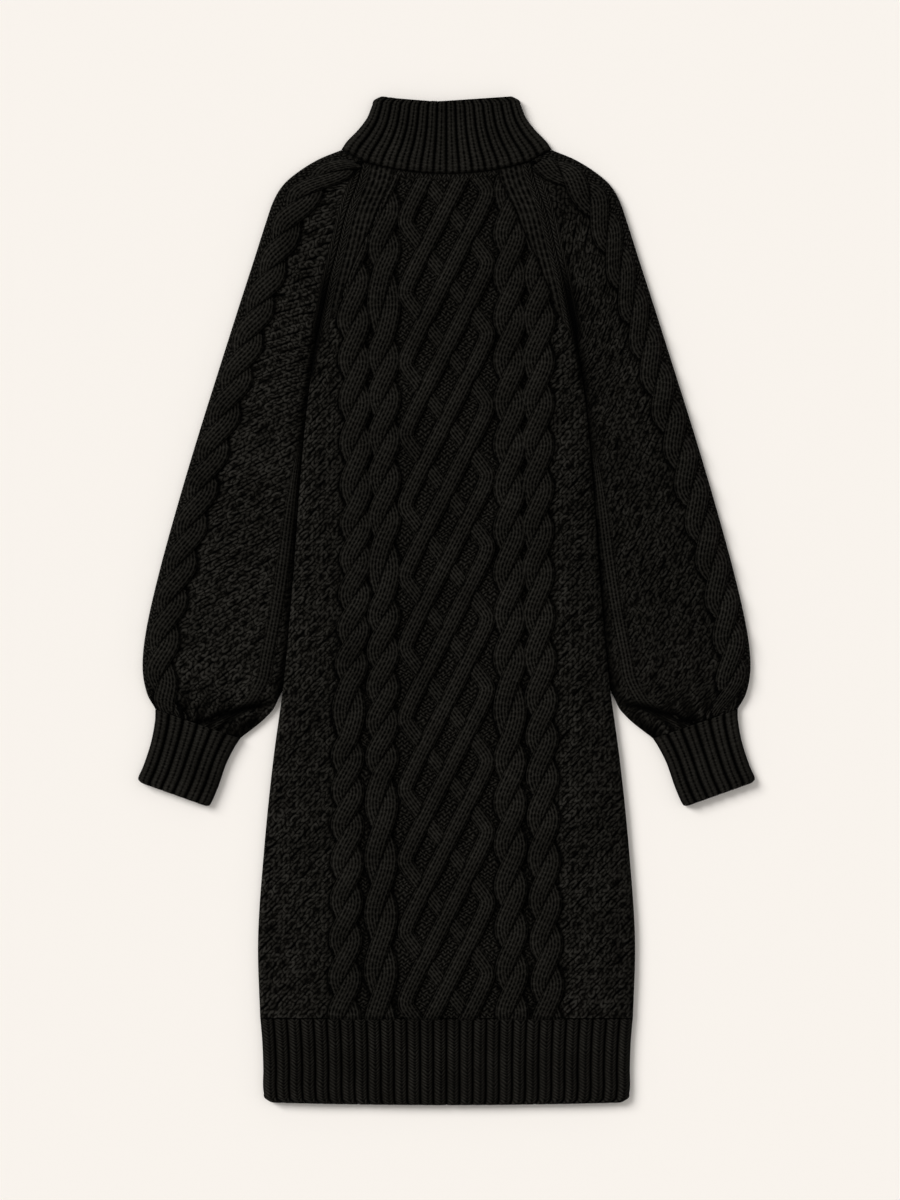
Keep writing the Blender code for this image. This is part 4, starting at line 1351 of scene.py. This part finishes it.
def ribbed(name, starts, ends, ribs, run, crowns, style, bend=None, valley=None):
    """A ribbed tube laid flat. run is the distance knitted at each row, valley how deep its ribs are.

    bend gives y at x, on the front or not, and of what stays out of sight or not. style holds
    the half width of a valley, where a rib's legs meet, how smooth its legs are, how much light its
    valleys keep under painted shade and how far its first rows round down. Rows count up the dress.
    """
    shares = np.linspace(0.0, 1.0, ribs * RIB_SAMPLES + 1)
    width = np.linalg.norm(ends - starts, axis=1)[:, None]
    depth = np.ones((len(starts), 1)) if valley is None else valley[:, None]
    profile = rib_profile(shares * ribs, style["edge"])[None, :]
    shown = 1 - depth * (1 - profile)
    column = rib_column(shares * ribs, style["edge"], style["centre"])[None, :]
    if style["smooth"]:
        column = 2 * column + 0.5 + 0.08 * np.sin(4 * math.pi * column)
    row = (run * np.sign(starts[-1, 1] - starts[0, 1] + MM) / RIB_ROW)[:, None]
    knitting = Knitting(0.0, 0.0, column, row, 0.0, 1.0 - style["smooth"], style["smooth"])
    lip = dome(1 - np.clip(run / style["lip"], 0.0, 1.0))[:, None] if style["lip"] else 1.0
    # Painted shade in the valleys and on the lip
    knitting.shade(mix(style["open"], 1, shown) * mix(RIB_LIP_PAINTED_LIGHT, 1, lip))
    plain = PLAIN_TOP - RIB_VALLEY_SHARE * RIB_RISE + crowns[:, None] * np.sin(math.pi * shares)
    raised = plain + RIB_RISE * shown + RIB_LEG_RISE * (knitting.crest() - 0.4) * profile
    raised = mix(plain - RIB_LIP_DROP, raised, lip)
    rounding = dome(1 - np.clip(np.minimum(shares, 1 - shares) * width / EDGE_ROUNDING, 0.0, 1.0))
    heights = mix(SIDE_LEVEL, raised, rounding)
    fronts = along_sections(starts, ends, np.broadcast_to(shares, heights.shape), heights)
    if bend is not None:
        fronts[..., 1] = bend(fronts[..., 0], True, False)
    fabric = Fabric()
    tube(fabric, fronts, knitting, starts, ends, crowns)
    if bend is not None:
        bend_hidden(fabric, len(starts), bend)
    return fabric.make(name + "_knit", name)


def bend_hidden(fabric, rows, bend):
    """Bends a tube's back and then its lining, of which two columns lie under the front."""
    for block, under_front in ((1, ()), (2, (1, 2))):
        points = fabric.points[block].reshape(rows, -1, 3)
        for k in range(points.shape[1]):
            points[:, k, 1] = bend(points[:, k : k + 1, 0], k in under_front, True)[:, 0]


def cuff(name, side):
    rows = np.linspace(0.0, len(CUFF_SECTIONS) - 1, CUFF_ROWS)
    inner_x, inner_y, outer_x, outer_y = sections_at(rows, CUFF_SECTIONS)
    starts = np.column_stack([side * inner_x, inner_y])
    ends = np.column_stack([side * outer_x, outer_y])
    starts[0, 1] -= SEAM_GAP
    ends[0, 1] -= SEAM_GAP
    run = run_along(0.5 * (starts + ends))
    piece = ribbed(name, starts, ends, CUFF_RIBS, run, np.zeros(CUFF_ROWS), CUFF_STYLE)
    lay_tube(starts, ends)


def collar():
    shares = np.linspace(0.0, 1.0, COLLAR_ROWS)
    half = curve(shares, COLLAR_SECTIONS) * MM
    starts = np.column_stack([-half, np.zeros(COLLAR_ROWS)])
    ends = starts * (-1, 1)

    def bend(x, on_front, hidden):
        """y at x: from the neckline, with a lap over the front, to the dipped top edge."""
        reach = np.abs(x) / half[:, None]
        drop = FRONT_NECK_DROP if on_front else -BACK_NECK_RISE
        low = neckline(reach * NECK_CORNER[0], drop) - COLLAR_OVERLAP * on_front * (1 - reach**6)
        dip = np.where(hidden & (reach < COLLAR_HIDDEN_REACH), COLLAR_HIDDEN_DIP, 1 - reach**2)
        return mix(low, COLLAR_TOP - COLLAR_TOP_DIP * dip, shares[:, None])

    run = shares * (COLLAR_TOP - NECK_SEAM[1])
    crowns = BODY_CROWN * (1 - shares)
    valley = mix(COLLAR_FOOT_VALLEY, 1, ease(shares / COLLAR_FOOT_SHARE))
    piece = ribbed("collar", starts, ends, COLLAR_RIBS, run, crowns, COLLAR_STYLE, bend, valley)
    lay_tube(starts + (0, 1) * run[:, None], ends + (0, 1) * run[:, None])


def hem_rib():
    y = np.linspace(HEM_SEAM, HEM_BOTTOM, HEM_ROWS)
    half = curve_in_mm(y, HEM_SECTIONS)
    low = (HEM_SEAM - y) / (HEM_SEAM - HEM_BOTTOM)
    starts = np.column_stack([-half, y])
    ends = starts * (-1, 1)

    def bend(x, on_front, hidden):
        """y at x: straight at the seam, and up a little at the sides of the lower edge."""
        gap = SEAM_GAP / 2 * (y == HEM_SEAM)
        return (y - gap)[:, None] + low[:, None] * HEM_SIDE_RISE * (x / half[:, None]) ** 2

    run = HEM_SEAM - y
    piece = ribbed("hem_rib", starts, ends, HEM_RIBS, run, BODY_CROWN * (1 - low), HEM_STYLE, bend)
    lay_tube(starts, ends)


# ---------------------------------------------------------------- wool


def noise(tree, place, scale, detail):
    node = tree.nodes.new("ShaderNodeTexNoise")
    node.inputs["Scale"].default_value = scale
    node.inputs["Detail"].default_value = detail
    tree.links.new(place, node.inputs["Vector"])
    return Field(tree, node.outputs["Fac"])


def parts_of(tree, title):
    """The three numbers of an attribute of the points."""
    attribute = tree.nodes.new("ShaderNodeAttribute")
    attribute.attribute_name = title
    parts = tree.nodes.new("ShaderNodeSeparateXYZ")
    tree.links.new(attribute.outputs["Vector"], parts.inputs[0])
    return [Field(tree, socket) for socket in parts.outputs]


def knitted_wool():
    """The stitches and fibres of the wool: a shade from 0 to 1, with shade painted into its holes and
    wherever painted_light is low, and a height in mm.
    """
    tree = bpy.data.node_groups.new("knitted_wool", "ShaderNodeTree")
    for title in ("Shade", "Height"):
        tree.interface.new_socket(name=title, in_out="OUTPUT", socket_type="NodeSocketFloat")
    out = tree.nodes.new("NodeGroupOutput")
    across, along, painted_light = parts_of(tree, "ground")
    column, row, _ = parts_of(tree, "columns")
    crest = stitches(across, along, column, row, *parts_of(tree, "shares"))
    place = tree.nodes.new("ShaderNodeTexCoord").outputs["Object"]
    fuzz, plies, dye = [noise(tree, place, *grain) - 0.5 for grain in (FUZZ_GRAIN, PLY_GRAIN, DYE_GRAIN)]
    # painted_light paints shade into the colour; the noises are the yarn's own fibres and dye
    shade = painted_light * crest + FUZZ_SHADE * fuzz + PLY_SHADE * plies + DYE_SHADE * dye
    height = STITCH_BUMP * crest + FIBRE_BUMP * (plies + 0.5 * fuzz)
    tree.links.new(shade.socket, out.inputs["Shade"])
    tree.links.new(height.socket, out.inputs["Height"])
    return tree


# Wool colours from the bottom of a hole, near black with painted shade, to the top of a stitch
WOOL_SHADES = (
    (0.10, (0.0001, 0.0001, 0.0001)),
    (0.40, (0.0030, 0.0027, 0.0021)),
    (0.70, (0.0108, 0.0100, 0.0083)),
    (1.00, (0.0300, 0.0282, 0.0243)),
)
# Grains of the wool, as the scale and detail of a noise, and how much each lightens and darkens it
FUZZ_GRAIN, FUZZ_SHADE = (1500.0, 2.0), 0.40
PLY_GRAIN, PLY_SHADE = (620.0, 1.0), 0.40
DYE_GRAIN, DYE_SHADE = (26.0, 2.0), 0.25
MATTE_WOOL = {
    "Roughness": 0.92,
    "Specular IOR Level": 0.02,
    "Sheen Weight": 0.008,
    "Sheen Roughness": 0.4,
}
STITCH_BUMP = 0.8
FIBRE_BUMP = 0.25


def wool_material():
    material, surface = new_material("wool_yarn", MATTE_WOOL)
    tree = material.node_tree
    wool = tree.nodes.new("ShaderNodeGroup")
    wool.node_tree = knitted_wool()
    ramp = tree.nodes.new("ShaderNodeValToRGB")
    stops = ramp.color_ramp.elements
    while len(stops) < len(WOOL_SHADES):
        stops.new(0.5)
    for stop, (position, colour) in zip(stops, WOOL_SHADES):
        stop.position = position
        stop.color = (*colour, 1.0)
    bump = tree.nodes.new("ShaderNodeBump")
    bump.inputs["Strength"].default_value = 1.0
    bump.inputs["Distance"].default_value = MM
    tree.links.new(wool.outputs["Shade"], ramp.inputs["Fac"])
    tree.links.new(ramp.outputs["Color"], surface.inputs["Base Color"])
    tree.links.new(wool.outputs["Height"], bump.inputs["Height"])
    tree.links.new(bump.outputs["Normal"], surface.inputs["Normal"])
    return material


# ---------------------------------------------------------------- camera, light and floor

PICTURE_TALL = 1380.0 * MM  # what the camera takes in from top to bottom, at the top of the cloth
VIEW_CENTRE = (4.0 * MM, 0.6 * MM)
CAMERA_HEIGHT = 4.0
SENSOR = 36.0
FLOOR_HALF = 6.0
FLOOR_DROP = 0.2 * MM
PALE_FLOOR = {"Base Color": (0.925, 0.885, 0.838, 1.0), "Roughness": 0.9, "Specular IOR Level": 0.0}


def camera():
    data = bpy.data.cameras.new("camera")
    data.sensor_width = SENSOR
    data.lens = SENSOR / 2 / (PICTURE_TALL / 2 / (CAMERA_HEIGHT - PLAIN_TOP))
    made = put("camera", data)
    made.location = (*VIEW_CENTRE, CAMERA_HEIGHT)
    bpy.context.scene.camera = made


def far_light(name, place, power, spread):
    """A large soft light far off, in the direction of place, which lights the whole dress alike."""
    data = bpy.data.lights.new(name, "SUN")
    data.energy = power
    data.angle = math.radians(spread)
    put(name, data).rotation_euler = Vector(place).to_track_quat("Z", "Y").to_euler()


def studio():
    far_light("key", place=(-1.15, 0.75, 1.0), power=2.98, spread=30)
    far_light("fill", place=(1.0, 0.1, 0.9), power=0.4, spread=60)
    world = bpy.data.worlds.new("studio")
    world.use_nodes = True
    background = world.node_tree.nodes["Background"]
    background.inputs["Color"].default_value = (1.0, 0.985, 0.965, 1.0)
    background.inputs["Strength"].default_value = 0.38
    bpy.context.scene.world = world
    bpy.context.scene.view_settings.view_transform = "Standard"


def floor():
    mesh = bmesh.new()
    bmesh.ops.create_grid(mesh, x_segments=1, y_segments=1, size=FLOOR_HALF)
    data = bpy.data.meshes.new("floor")
    mesh.to_mesh(data)
    mesh.free()
    material, _ = new_material("pale_floor", PALE_FLOOR)
    data.materials.append(material)
    made = put("floor", data)
    made.location.z = -FLOOR_DROP


# ---------------------------------------------------------------- the dress

WOOL = wool_material()
camera()
studio()
floor()

back()
front()
for piece_name, side in (("left", -1), ("right", 1)):
    sleeve(piece_name + "_sleeve", side)
    cuff(piece_name + "_cuff", side)
collar()
hem_rib()
